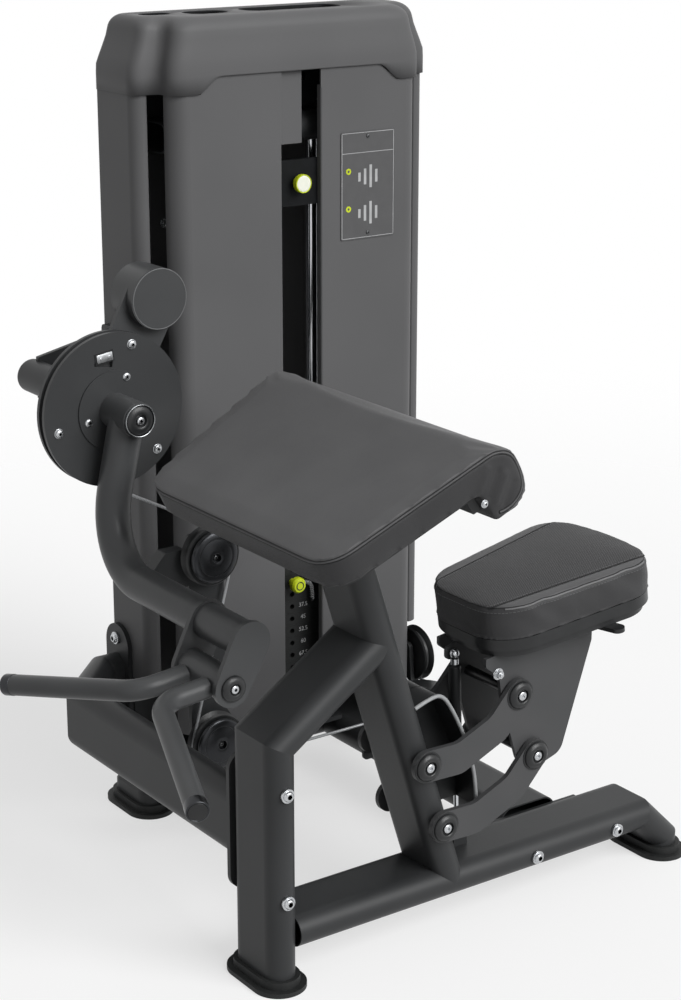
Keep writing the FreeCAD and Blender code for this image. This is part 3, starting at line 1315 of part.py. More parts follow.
def carrier_pivots():
    """The two pivots at the far ends of the seat links."""
    reach_x = s.link_long * cosine(s.link_rise)
    reach_z = s.link_long * sine(s.link_rise)
    return tuple((x + reach_x, z + reach_z) for x, z in column_pivots())


def seat_link(label, pivot):
    """A pair of boat-shaped link plates, drawn level from their column pivot."""
    wide, dip, elbow, long = s.link_half, s.link_dip, s.link_elbow, s.link_long
    slope = heading(dip, elbow)
    run, lift = wide * sine(slope), wide * cosine(slope)
    ease = wide * tangent(slope / 2)
    bend = s.link_elbow * 0.7
    plate = new_body(label + "_plate")
    y_far = -s.link_inside
    outline = [(-run, -lift), (elbow - ease, -(dip + wide), bend),
        (long - elbow + ease, -(dip + wide), bend),
               (long + run, -lift), (long - run, lift), (long - elbow - ease, wide - dip, bend),
               (elbow + ease, wide - dip, bend), (run, lift)]
    face = Drawing(plate, "XZ_Plane", -y_far).outline(outline)
    pad(plate, face, s.link_thick)
    for x in (0, long):
        pad(plate, Drawing(plate, "XZ_Plane", -y_far).circle(x, 0, wide), s.link_thick)
    bore = Drawing(plate, "XZ_Plane", -(y_far - s.link_thick)).circle(0, 0, s.seat_pin_radius + s.pin_gap)
    bore.circle(long, 0, s.seat_pin_radius + s.pin_gap)
    pocket(plate, bore, s.link_thick)
    place(plate, pivot[0], 0, pivot[1], (0, 1, 0), -s.link_rise)
    both_sides(label, plate)


def pin_with_caps(label, x, z, capped=True):
    """A pivot pin across the seat links with a domed cap at each end."""
    half = s.link_inside + s.link_thick + s.part_gap
    cap, tall, radius = s.pin_cap_radius, s.pin_cap_tall, s.seat_pin_radius
    dome = s.washer_thick
    turned = turned_y(label, [
        (0, -(half + tall)), (cap * 0.45, -(half + tall)), (cap, -(half + dome), dome), (cap, -half),
        (radius, -half),
        (radius, half), (cap, half), (cap, half + dome, dome), (cap * 0.45, half + tall),
        (0, half + tall)], x, 0, z)
    return node(label, turned)


def seat():
    """Seat links, carrier, tray, cushion, gas spring, release lever and the bent guard."""
    upper, lower = column_pivots()
    far_upper, far_lower = carrier_pivots()
    seat_link("upper_link", upper)
    seat_link("lower_link", lower)
    pin_with_caps("column_pin_upper", upper[0], upper[1])
    pin_with_caps("column_pin_lower", lower[0], lower[1])
    pin_with_caps("carrier_pin_upper", far_upper[0], far_upper[1])
    pin_with_caps("carrier_pin_lower", far_lower[0], far_lower[1])

    unit = s.link_half
    left = far_upper[0] - unit * 2.3
    right = far_upper[0] + unit * 6
    step = far_upper[1] + unit * 2.1

    def tray_height(x):
        return s.seat_under + (x - s.seat_front) * tangent(s.seat_tilt)

    turn = s.plate_thick
    side = new_body("carrier_side")
    face = Drawing(side, "XZ_Plane", s.carrier_inside).outline([
        (left, tray_height(left)), (left, step, turn),
        (far_upper[0] - unit * 1.25, far_upper[1] + unit * 1.3, unit),
        (far_upper[0] - unit * 1.05, far_upper[1] - unit * 0.2, unit),
        (far_lower[0] - unit * 1.05, far_lower[1] - unit * 0.3, unit),
        (far_lower[0] + unit * 0.3, far_lower[1] - unit * 1.15, unit * 0.8),
        (far_lower[0] + unit * 2.4, far_lower[1] - unit * 0.5, unit), (right, step, turn),
        (right, tray_height(right))])
    face.circle(far_upper[0], far_upper[1], s.seat_pin_radius + s.pin_gap)
    face.circle(far_lower[0], far_lower[1], s.seat_pin_radius + s.part_gap * 3)
    pad(side, face, s.carrier_thick)
    both_sides("carrier_sides", side)
    spring_ear(tray_height)

    tray = new_body("seat_tray")
    inset = s.shoe_lip
    for base, tall, shrink in ((0, s.tray_tall * 0.4, inset), (s.tray_tall * 0.4, s.tray_tall * 0.6, 0)):
        pad(tray, seat_plan(tray, base, shrink), tall)
    node("seat_tray", in_seat_frame(tray))
    cushion = new_body("seat_cushion")
    block = pad(cushion, seat_plan(cushion, s.tray_tall + s.pin_gap, -s.cable_radius), s.cushion_tall)
    round_top(cushion, block, s.shoe_lip * 1.4)
    node("seat_cushion", in_seat_frame(cushion))
    tab = new_body("release_lever")
    face = Drawing(tab, "XY_Plane", -(s.carrier_thick + s.part_gap))
    start = s.seat_long * 0.62
    near = s.carrier_inside + s.carrier_thick + s.washer_radius + s.washer_thick
    face.stadium(start, -near, start + s.lever_long * 0.3, -(s.seat_broad - inset / 2), s.washer_radius)
    pad(tab, face, s.carrier_thick)
    node("release_lever", in_seat_frame(tab))

    barrel = new_body("spring_barrel")
    base, long = s.spring_radius, s.spring_long
    bore = s.spring_rod + s.pin_gap
    revolve(barrel, Drawing(barrel, "XZ_Plane").outline([
        (0, long + base * 0.6), (base * 0.6, long + base * 0.6, s.washer_thick),
        (base * 0.6, long - base * 1.6),
        (base, long - base * 1.8, s.washer_thick), (base, long - s.barrel_long, s.washer_thick),
        (bore, long - s.barrel_long), (bore, long - base * 2.6), (0, long - base * 2.6)]))
    node("spring_barrel", place(barrel, s.spring_x, s.spring_y, s.spring_z, (0, 1, 0), -s.spring_lean))
    rod = new_body("spring_rod")
    pad(rod, Drawing(rod, "XY_Plane", base * 0.8).circle(0, 0, s.spring_rod), long - base * 14.6)
    pad(rod, Drawing(rod, "XZ_Plane", -base / 2).circle(0, 0, base), base)
    drill = disc_y("spring_drill", 0, 0, s.bolt_radius + s.pin_gap, base, base * 2)
    rod = cut("spring_rod", rod, [drill])
    node("spring_rod", place(rod, s.spring_x, s.spring_y, s.spring_z, (0, 1, 0), -s.spring_lean))
    ears = []
    half_ear = s.spring_radius / 2 + s.part_gap
    ear = s.plate_thick * 0.6
    for y_far in (s.spring_y - half_ear, s.spring_y + half_ear + ear):
        ears.append(plate_y("spring_ear", [
            (s.spring_x - base * 1.4, rail_top), (s.spring_x + base * 1.4, rail_top),
            (s.spring_x + base * 1.1, s.spring_z + base * 1.1, base * 0.9),
            (s.spring_x - base * 1.1, s.spring_z + base * 1.1, base * 0.9)],
            y_far, ear, [(s.spring_x, s.spring_z, s.bolt_radius)]))
    ears.append(disc_y("spring_pin", s.spring_x, s.spring_z, s.bolt_radius, s.spring_y + half_ear + ear,
        half_ear * 2 + ear * 2))
    group("spring_foot", ears)
    guard()


def spring_ear(tray_height):
    """Ear under the tray with the stud that holds the gas spring's upper end."""
    unit = s.spring_radius
    top_x = s.spring_x - s.spring_long * sine(s.spring_lean)
    top_z = s.spring_z + s.spring_long * cosine(s.spring_lean)
    stud_y = s.spring_y + unit * 0.6 + s.part_gap
    near = stud_y + s.cable_radius
    root, end = s.seat_front + unit * 1.4, s.seat_front + unit * 6
    ear = plate_y("spring_ear_plate", [
        (top_x - unit, top_z - unit, unit * 0.8), (top_x - unit, top_z + unit, unit * 0.8),
        (root, tray_height(root)), (end, tray_height(end)), (end, tray_height(end) - unit),
        (top_x + unit, top_z - unit, unit * 0.8)], near + s.carrier_thick * 0.75, s.carrier_thick * 0.75)
    stud = disc_y("spring_stud", top_x, top_z, s.cable_radius, near, s.cable_radius)
    group("spring_ear", [ear, stud])


def in_seat_frame(thing):
    """Places a piece drawn along the seat, from its narrow end's underside."""
    return place(thing, s.seat_front, 0, s.seat_under, (0, 1, 0), -s.seat_tilt)


def seat_plan(body, level, shrink):
    """The seat's plan: a round narrow end in front and a bowed broad end at the back."""
    narrow, broad = s.seat_narrow - shrink, s.seat_broad - shrink
    front_turn, rear_turn = narrow * 0.78, broad * 0.46
    bow = s.seat_broad * 0.12
    far = s.seat_long - shrink
    return Drawing(body, "XY_Plane", level).outline([
        (shrink, -narrow, front_turn), (far - bow, -broad, rear_turn), (far, 0, broad * 3),
        (far - bow, broad, rear_turn), (shrink, narrow, front_turn)])


# Bends of the guard strip, as shares of its height from its foot
GUARD_SHARES = ((0, 0), (-0.015, 0.207), (-0.093, 0.496), (-0.289, 0.856), (-0.348, 0.9),
    (-0.496, 1.007), (-0.53, 1.0))


def guard():
    """Bent guard strip over the seat's lower links, with a web behind it."""
    tall, thick = s.guard_tall, s.guard_thick
    front = [(s.guard_foot_x + tall * a, s.guard_foot_z + tall * b) for a, b in GUARD_SHARES]
    turn = s.plate_thick
    outer = [front[0]] + [point + (turn,) for point in front[1:-1]] + [front[-1]]
    inner = [(x - thick, z - thick * share) for (x, z), share in zip(front, (0, 0, 0.2, 0.6, 0.8, 1, 1))]
    inner[0] = (front[0][0] - thick, front[0][1])
    inner[-1] = (front[-1][0], front[-1][1] - thick)
    strip = plate_y("guard_strip", outer + list(reversed(inner)), s.guard_half, s.guard_half * 2)
    node("guard_strip", strip)
    gap = s.part_gap
    web_points = [(x - gap * 2, z - gap * 3) for x, z in inner]
    slope = tangent(s.column_lean)
    web_x = s.column_foot + half_tube / cosine(s.column_lean)

    def face_x(z):
        return web_x - (z - rail_top) * slope

    low, high = web_points[0][1] + gap, web_points[-1][1] - gap
    top = high - thick * 2
    web = plate_y("guard_web", [(face_x(low), low)] + web_points[:5] + [(face_x(top), top)],
                  s.plate_thick * 0.3, s.plate_thick * 0.6)
    node("guard_web", web)


def arm_pad():
    """Sloping arm pad with a rolled end, its board and its bracket on the column."""
    long, thick, roll = s.pad_long, s.pad_thick, s.pad_roll
    tip = long + roll
    side = new_body("pad_side")
    lip_x, root_x = long - roll * 0.5, long - roll * 0.6
    face = Drawing(side, "XZ_Plane", -s.pad_high_half * 1.2).outline([
        (0, 0, s.shoe_lip), (tip, 0, roll), (tip, -roll * 2, roll * 0.98), (lip_x, -roll * 2, roll * 0.2),
        (root_x, -thick), (0, -thick, s.shoe_lip / 2)])
    pad(side, face, s.pad_high_half * 2.4)
    plan = new_body("pad_plan")
    outline = Drawing(plan, "XY_Plane", -roll * 3).outline([
        (0, -s.pad_low_half, s.pad_corner), (tip, -s.pad_high_half, s.pad_corner * 0.4),
        (tip, s.pad_high_half, s.pad_corner * 0.4), (0, s.pad_low_half, s.pad_corner)])
    pad(plan, outline, roll * 4)
    node("arm_pad", in_pad_frame(common("arm_pad", side, plan)))

    board = new_body("board_side")
    edge = s.pad_corner / 3
    depth = s.board_thick
    reach = roll * 0.65
    slant = reach * 0.1
    face = Drawing(board, "XZ_Plane", -s.pad_high_half * 1.2).outline([
        (edge, -pad_under), (root_x - s.part_gap * 3, -pad_under),
        (root_x - s.part_gap * 3 + slant, -(pad_under + reach)),
        (root_x - s.part_gap * 3 + slant - depth, -(pad_under + reach)),
        (root_x - depth, -(pad_under + depth)), (edge, -(pad_under + depth))])
    pad(board, face, s.pad_high_half * 2.4)
    plan = new_body("board_plan")
    outline = Drawing(plan, "XY_Plane", -roll * 3).outline([
        (edge, -(s.pad_low_half - edge), s.pad_corner - edge),
        (long, -(s.pad_high_half - edge * 1.5), edge),
        (long, s.pad_high_half - edge * 1.5, edge), (edge, s.pad_low_half - edge, s.pad_corner - edge)])
    pad(plan, outline, roll * 4)
    node("pad_board", in_pad_frame(common("pad_board", board, plan)))
    bracket = new_body("pad_bracket")
    level = -(pad_under + s.board_thick + s.plate_thick)
    half = half_wide * 1.25
    face = Drawing(bracket, "XY_Plane", level).outline([
        (roll * 1.2, -half, s.plate_thick * 2), (long * 0.83, -half, s.plate_thick * 2),
        (long * 0.83, half, s.plate_thick * 2), (roll * 1.2, half, s.plate_thick * 2)])
    pad(bracket, face, s.plate_thick)
    node("pad_bracket", in_pad_frame(bracket))


def bolt_y(x, y_near, z):
    """A bolt head on its washer, against a face on the far side."""
    turned = turned_y("frame_bolt", [
        (0, -(s.washer_thick + s.bolt_head_tall)),
        (s.bolt_head_radius * 0.7, -(s.washer_thick + s.bolt_head_tall), s.washer_thick / 2),
        (s.bolt_head_radius, -s.washer_thick * 2), (s.bolt_head_radius, -s.washer_thick),
        (s.washer_radius, -s.washer_thick),
        (s.washer_radius, 0), (0, 0)], x, y_near, z)
    return turned


def frame_bolts():
    """Bolts of the leg, of the front rail and of the tower flange."""
    bolts = []
    half = s.flange_bolts / 2
    for sign in (-1, 1):
        bolts.append(bolt_y(0, -half_wide, s.side_axis - s.washer_thick + half * sign))
        bolts.append(bolt_y(s.cross_axis + s.cross_bolts / 2 * sign, -half_wide, s.rail_axis))
    group("leg_bolts", bolts)
    side = []
    for sign in (-1, 1):
        bolt = new_body("flange_bolt")
        x = shell_left - s.plate_thick
        z = s.side_axis + half * sign
        for radius, length in ((s.washer_radius, s.washer_thick),
            (s.bolt_head_radius, s.washer_thick + s.bolt_head_tall)):
            pad(bolt, Drawing(bolt, "YZ_Plane", x - length).circle(s.tower_base, z, radius), length)
        side.append(bolt)
    group("flange_bolts", side)


def small_fittings(top_level, stem_high):
    """Running end of the cable, lanyard, increment carriage with its knob, and the placard."""
    line = new_body("stack_cable")
    top = s.top_pulley_z - s.pulley_radius
    pad(line, Drawing(line, "XY_Plane", stem_high).circle(s.tower_axis, s.stack_plane, s.cable_radius),
        top - stem_high - s.part_gap)
    node("stack_cable", line)
    x = s.tower_axis + s.stem_radius * 1.3
    pin_y = s.stack_plane - s.plate_deep / 2 - s.stem_radius
    z = top_level + s.weight_thick / 2
    cord = new_body("pin_lanyard")
    path = Drawing(cord, "XZ_Plane", -pin_y).outline(
        [(x, z), (x + s.knob_radius, z, s.knob_radius * 0.6),
        (x + s.knob_radius * 1.4, z - s.knob_radius * 2.2)], closed=False)
    pipe(cord, Drawing(cord, "YZ_Plane", x).circle(pin_y, z, s.cable_radius * 1.3), path, "Transformed")
    node("pin_lanyard", cord)

    wide = s.slot_left * 1.25
    low, high = s.knob_height - s.plate_deep / 2, s.knob_height + s.plate_deep / 2
    face = s.tower_front + s.cover_deep / 3 + s.part_gap
    plate = plate_y("increment_carriage", [
        (s.tower_axis - wide, low, s.plate_thick), (s.tower_axis + wide, low, s.plate_thick),
        (s.tower_axis + wide, high, s.plate_thick), (s.tower_axis - wide, high, s.plate_thick)],
        face + s.plate_thick, s.plate_thick)
    node("increment_carriage", plate)
    knob = turned_y("increment_knob", [
        (0, -s.knob_radius * 1.2), (s.knob_radius * 0.85, -s.knob_radius * 1.2, s.washer_thick),
        (s.knob_radius, -s.knob_radius * 0.8, s.washer_thick),
        (s.knob_radius, -s.knob_radius * 0.4, s.washer_thick), (s.bolt_radius, 0), (0, 0)],
        s.tower_axis, face, s.knob_height)
    node("increment_knob", knob)
    turn = s.plate_thick / 2
    node("placard", plate_y("placard", [
        (s.placard_left, s.placard_low, turn), (s.placard_right, s.placard_low, turn),
        (s.placard_right, s.placard_high, turn), (s.placard_left, s.placard_high, turn)],
        s.tower_front, s.placard_thick))


# Touching pieces of one assembly that are handed in under one name
FAMILIES = {
    "rubber_shoes": ("front_leg_shoe", "front_rail_shoe", "tower_shoe_left", "tower_shoe_right",
        "right_rail_foot"),
    "rail_flanges": ("leg_flange", "cross_flange", "tower_flange"),
    "tower_frame": ("tower_base_rail", "upright_left", "upright_right", "top_beam", "rod_base_plate"),
    "side_shells": ("side_shell_left", "side_shell_right"),
    "front_covers": ("front_cover_left", "front_cover_right", "slot_panel"),
    "frame_bolts": ("leg_bolts", "flange_bolts"),
    "cam_disc": ("cam_plates", "hub_plate"),
    "arm_caps": ("hub_cap", "swivel_caps", "cable_clamp"),
    "fork_plates": ("fork_plate_front", "fork_plate_rear"),
    "counterweight": ("counterweight_plate", "counterweight_mass"),
    "handle_bars": ("handle_barrel", "bent_bars"),
    "grip_ends": ("grip_rings", "grip_end_caps"),
    "pivot_housing": ("housing_tube", "housing_cap", "pivot_bearings"),
    "pivot_bracket": ("pivot_webs", "pivot_mount"),
    "pulley_post": ("post_plate", "post_arm", "stop_block"),
    "cable_brackets": ("turn_post", "turn_bracket", "rear_bracket", "roller_arm", "top_pulley_bracket"),
    "pulley_axles": ("level_axles", "rear_axle"),
    "column_pins": ("column_pin_upper", "column_pin_lower"),
    "seat_carrier": ("carrier_sides", "spring_ear"),
    "seat_guard": ("guard_strip", "guard_web"),
    "pad_column": ("column_tube", "pad_bracket"),
}


def gather_families():
    """Groups each family's pieces, so that every sub-part is one file."""
    known = dict(nodes)
    for family, members in FAMILIES.items():
        pieces = [known[name] for name in members]
        for item in [pair for pair in nodes if pair[0] in members]:
            nodes.remove(item)
        group(family, pieces)


def run():
    front_frame()
    side_frame()
    tower_frame()
    tower_covers()
    top_level, stem_high = weight_stack()
    selector_pin(top_level)
    back = exercise_arm()
    pivot_support(back)
    handle()
    cable_run()
    cable()
    seat()
    arm_pad()
    frame_bolts()
    small_fittings(top_level, stem_high)
    gather_families()
    document.recompute()


def check_all():
    """Stops the build if any object failed or any sub-part is not a sound solid."""
    for item in document.Objects:
        if "Invalid" in item.State or "Error" in item.State:
            users = ", ".join(user.Label for user in item.InList)
            raise RuntimeError("failed: " + item.Label + " in " + users)
    for label, thing in nodes:
        shape = thing.Shape
        if shape.isNull() or not shape.isValid() or shape.Volume <= 0:
            raise RuntimeError("not sound: " + label)


def move_origin():
    """Moves every sub-part so the origin is the middle of the footprint on the floor."""
    boxes = [thing.Shape.optimalBoundingBox(False) for label, thing in nodes]
    middle_x = (min(b.XMin for b in boxes) + max(b.XMax for b in boxes)) / 2
    middle_y = (min(b.YMin for b in boxes) + max(b.YMax for b in boxes)) / 2
    row = len(SIZES) + 1
    for alias, value in (("origin_x", middle_x), ("origin_y", middle_y)):
        sheet.set("A%d" % row, alias)
        sheet.set("B%d" % row, repr(round(value, 3)))
        sheet.setAlias("B%d" % row, alias)
        row += 1
    document.recompute()
    for label, thing in nodes:
        known = {path.strip("."): formula for path, formula in thing.ExpressionEngine}
        for side, alias in (("x", "origin_x"), ("y", "origin_y")):
            path = "Placement.Base." + side
            formula = known.get(path, repr(getattr(thing.Placement.Base, side)))
            thing.setExpression(path, "%s - Sizes.%s" % (formula, alias))
    document.recompute()
    print("origin", sheet.origin_x, sheet.origin_y)


run()
check_all()
move_origin()
check_all()
os.makedirs("parts", exist_ok=True)
for label, thing in nodes:
    thing.Shape.exportStep("parts/%s.step" % label)
print(len(nodes), "sub-parts")
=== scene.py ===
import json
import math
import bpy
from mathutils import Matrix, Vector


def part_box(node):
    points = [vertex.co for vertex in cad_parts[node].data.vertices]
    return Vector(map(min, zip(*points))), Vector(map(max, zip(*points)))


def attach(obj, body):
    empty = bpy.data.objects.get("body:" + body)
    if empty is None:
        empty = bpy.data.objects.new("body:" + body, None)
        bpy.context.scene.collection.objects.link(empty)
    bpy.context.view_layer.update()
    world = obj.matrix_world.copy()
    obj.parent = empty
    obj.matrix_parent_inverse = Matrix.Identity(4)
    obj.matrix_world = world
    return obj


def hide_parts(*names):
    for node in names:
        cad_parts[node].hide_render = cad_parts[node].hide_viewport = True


bl_info = {
    "name": "Biceps curl machine",
    "version": (1, 0, 0),
    "blender": (4, 5, 0),
    "location": "View3D > Sidebar > Curl machine",
    "description": "Finishes, padding, fasteners and stage for a biceps curl machine",
    "category": "Object",
}

import bmesh
import bpy
from bpy.props import FloatProperty, IntProperty, PointerProperty
from mathutils import Matrix, Vector, noise
from mathutils.bvhtree import BVHTree
from mathutils.kdtree import KDTree

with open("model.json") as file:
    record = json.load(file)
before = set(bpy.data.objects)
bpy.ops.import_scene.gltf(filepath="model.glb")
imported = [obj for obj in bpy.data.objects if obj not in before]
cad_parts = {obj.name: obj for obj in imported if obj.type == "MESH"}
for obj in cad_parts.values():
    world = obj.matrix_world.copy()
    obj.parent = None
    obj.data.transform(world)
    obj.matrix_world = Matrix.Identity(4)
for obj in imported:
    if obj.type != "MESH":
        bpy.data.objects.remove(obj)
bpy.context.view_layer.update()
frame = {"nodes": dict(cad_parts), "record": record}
NODES = frame["nodes"]
MM = 0.001

# The machine is laid out from the foot of its front leg, as in the CAD, in millimetres
LEG_LOW, LEG_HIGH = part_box("front_leg")
LEG_HALF = 30 * MM
LEG = Vector((LEG_LOW.x + LEG_HALF, (LEG_LOW.y + LEG_HIGH.y) / 2, 0))
FRONT, BACK, LEFT, UP = (0, -1, 0), (0, 1, 0), (-1, 0, 0), (0, 0, 1)


def at(x, y, z):
    """A place in millimetres from the foot of the front leg, as a point in the frame."""
    return LEG + Vector((x, y, z)) * MM


def linear(code):
    """An sRGB hex colour as linear red, green, blue and alpha."""
    channels = [int(code[i:i + 2], 16) / 255 for i in (1, 3, 5)]
    return [c / 12.92 if c <= 0.04045 else ((c + 0.055) / 1.055) ** 2.4 for c in channels] + [1.0]


# Materials

def node(tree, kind, settings=None, links=None):
    """Adds one shader node with its settings and what feeds its sockets."""
    made = tree.nodes.new(kind)
    for key, value in (settings or {}).items():
        if isinstance(key, int) or key in made.inputs.keys():
            made.inputs[key].default_value = value
        else:
            setattr(made, key, value)
    for key, source in (links or {}).items():
        tree.links.new(source, made.inputs[key])
    return made


def surface(name, gloss=0.5, **settings):
    """A new material, its tree, its shader and the piece's own coordinates."""
    material = bpy.data.materials.new(name)
    material.use_nodes = True
    tree = material.node_tree
    tree.nodes.clear()
    shader = node(tree, "ShaderNodeBsdfPrincipled", settings)
    shader.inputs["Specular IOR Level"].default_value = gloss
    node(tree, "ShaderNodeOutputMaterial", links={"Surface": shader.outputs[0]})
    place = node(tree, "ShaderNodeTexCoord").outputs["Object"]
    return material, tree, shader, place


def speckle(tree, place, size_mm, detail=2.0, roughness=0.5):
    """Noise whose features have a given size in millimetres."""
    return node(tree, "ShaderNodeTexNoise",
                {"Scale": 1 / (size_mm * MM), "Detail": detail, "Roughness": roughness},
                {"Vector": place}).outputs["Fac"]


def between(tree, factor, low, high, edges=(0.3, 0.7)):
    """Maps a factor to a range of values."""
    return node(tree, "ShaderNodeMapRange",
                {"From Min": edges[0], "From Max": edges[1], "To Min": low, "To Max": high},
                {"Value": factor}).outputs["Result"]


def tint(tree, factor, first, second):
    """A colour between two, by a factor."""
    mix = node(tree, "ShaderNodeMix", {"data_type": "RGBA"}, {"Factor": factor})
    mix.inputs[6].default_value = linear(first)
    mix.inputs[7].default_value = linear(second)
    return mix.outputs[2]


def raise_surface(tree, shader, height, strength, depth_mm):
    """Feeds a height to the shader's normal."""
    bump = node(tree, "ShaderNodeBump", {"Strength": strength, "Distance": depth_mm * MM},
                {"Height": height})
    tree.links.new(bump.outputs[0], shader.inputs["Normal"])


def grained(name, dark, light, low, high, cloud, grain, relief, gloss, ior):
    """A coat whose colour drifts in broad clouds, and whose roughness and relief follow a fine grain."""
    material, tree, shader, place = surface(name, gloss, Metallic=0.0, IOR=ior)
    drift = speckle(tree, place, *cloud)
    tree.links.new(tint(tree, between(tree, drift, 0, 1), dark, light), shader.inputs["Base Color"])
    height = speckle(tree, place, *grain)
    tree.links.new(between(tree, height, low, high), shader.inputs["Roughness"])
    raise_surface(tree, shader, height, *relief)
    return material


def powder_coat(name, dark, light, low=0.40, high=0.5):
    """Polyester powder coat, sprayed and stoved: satin, with the fine grain of fused powder."""
    return grained(name, dark, light, low, high, cloud=(160, 3), grain=(1.6, 2), relief=(0.12, 0.2),
                   gloss=0.25, ior=1.5)


def moulded_shell(name, dark, light):
    """Thick vacuum-formed ABS: even colour, a fine spark-eroded grain and a soft broad gloss."""
    return grained(name, dark, light, 0.48, 0.58, cloud=(300, 2), grain=(1.7, 3, 0.6), relief=(0.12, 0.2),
                   gloss=0.2, ior=1.54)


def moulded_rubber(name, dark, light):
    """Compression-moulded rubber: nearly black, dull, with a dusty bloom."""
    return grained(name, dark, light, 0.5, 0.68, cloud=(30, 5, 0.65), grain=(1.5, 2), relief=(0.2, 0.2),
                   gloss=0.25, ior=1.52)


def plain_plastic(name, dark, light, low, high, grain_mm=1.5, gloss=0.35):
    """Injection-moulded nylon or ABS: even colour, fine grain, soft gloss."""
    return grained(name, dark, light, low, high, cloud=(25, 3), grain=(grain_mm, 2), relief=(0.08, 0.12),
                   gloss=gloss, ior=1.53)


def bare_metal(name, dark, light, low, high, grain_mm=2.0):
    """Turned or plated steel: metallic, with fine tool marks that spread the highlight."""
    material, tree, shader, place = surface(name, Metallic=1.0)
    marks = speckle(tree, place, grain_mm, 4, 0.6)
    tree.links.new(tint(tree, between(tree, marks, 0, 1), dark, light), shader.inputs["Base Color"])
    tree.links.new(between(tree, marks, low, high), shader.inputs["Roughness"])
    raise_surface(tree, shader, marks, 0.06, 0.1)
    return material


def leatherette(name, dark, light, pore_mm=2.0, depth=0.3):
    """Coated vinyl upholstery: pebbled cells between fine creases, with a low soft sheen."""
    material, tree, shader, place = surface(name, 0.25, Metallic=0.0, IOR=1.5)
    shader.inputs["Sheen Weight"].default_value = 0.06
    cells = node(tree, "ShaderNodeTexVoronoi",
                 {"feature": "DISTANCE_TO_EDGE", "Scale": 1 / (pore_mm * MM), "Randomness": 0.9},
                 {"Vector": place}).outputs["Distance"]
    ridge = between(tree, cells, 0, 1, (0.0, 0.16))
    cloud = speckle(tree, place, 90, 3)
    tree.links.new(tint(tree, between(tree, cloud, 0, 1), dark, light), shader.inputs["Base Color"])
    tree.links.new(between(tree, ridge, 0.62, 0.46, (0, 1)), shader.inputs["Roughness"])
    raise_surface(tree, shader, ridge, depth, 0.25)
    return material


def even_bands(tree, place, pitch_mm, way, **settings):
    """A wave of straight bands, a pitch in millimetres apart."""
    scale = 1 / (pitch_mm * MM) / math.pi
    return node(tree, "ShaderNodeTexWave",
                {"wave_type": "BANDS", "bands_direction": way, "Scale": scale, **settings},
                {"Vector": place}).outputs["Fac"]


def ribbed_cloth(name, dark, light, turn_deg):
    """Ribbed grip fabric: fine cords run slantwise across the seat, about 3 mm apart."""
    material, tree, shader, place = surface(name, 0.2, Metallic=0.0, IOR=1.48)
    shader.inputs["Sheen Weight"].default_value = 0.1
    turned = node(tree, "ShaderNodeMapping", {"Rotation": (0, 0, math.radians(turn_deg))},
                  {"Vector": place}).outputs[0]
    ribs = even_bands(tree, turned, 3.2, "X", Distortion=0.6, Detail=1.0)
    tree.links.new(tint(tree, ribs, dark, light), shader.inputs["Base Color"])
    shader.inputs["Roughness"].default_value = 0.62
    raise_surface(tree, shader, ribs, 0.5, 0.6)
    return material


def coated_rope(name):
    """Nylon-coated steel rope: the fine lay of the strands shows dimly through a grey coat."""
    material, tree, shader, place = surface(name, Metallic=0.35)
    strands = even_bands(tree, place, 1.6, "DIAGONAL")
    tree.links.new(tint(tree, strands, "#8b8d8f", "#b4b6b8"), shader.inputs["Base Color"])
    shader.inputs["Roughness"].default_value = 0.34
    raise_surface(tree, shader, strands, 0.2, 0.15)
    return material


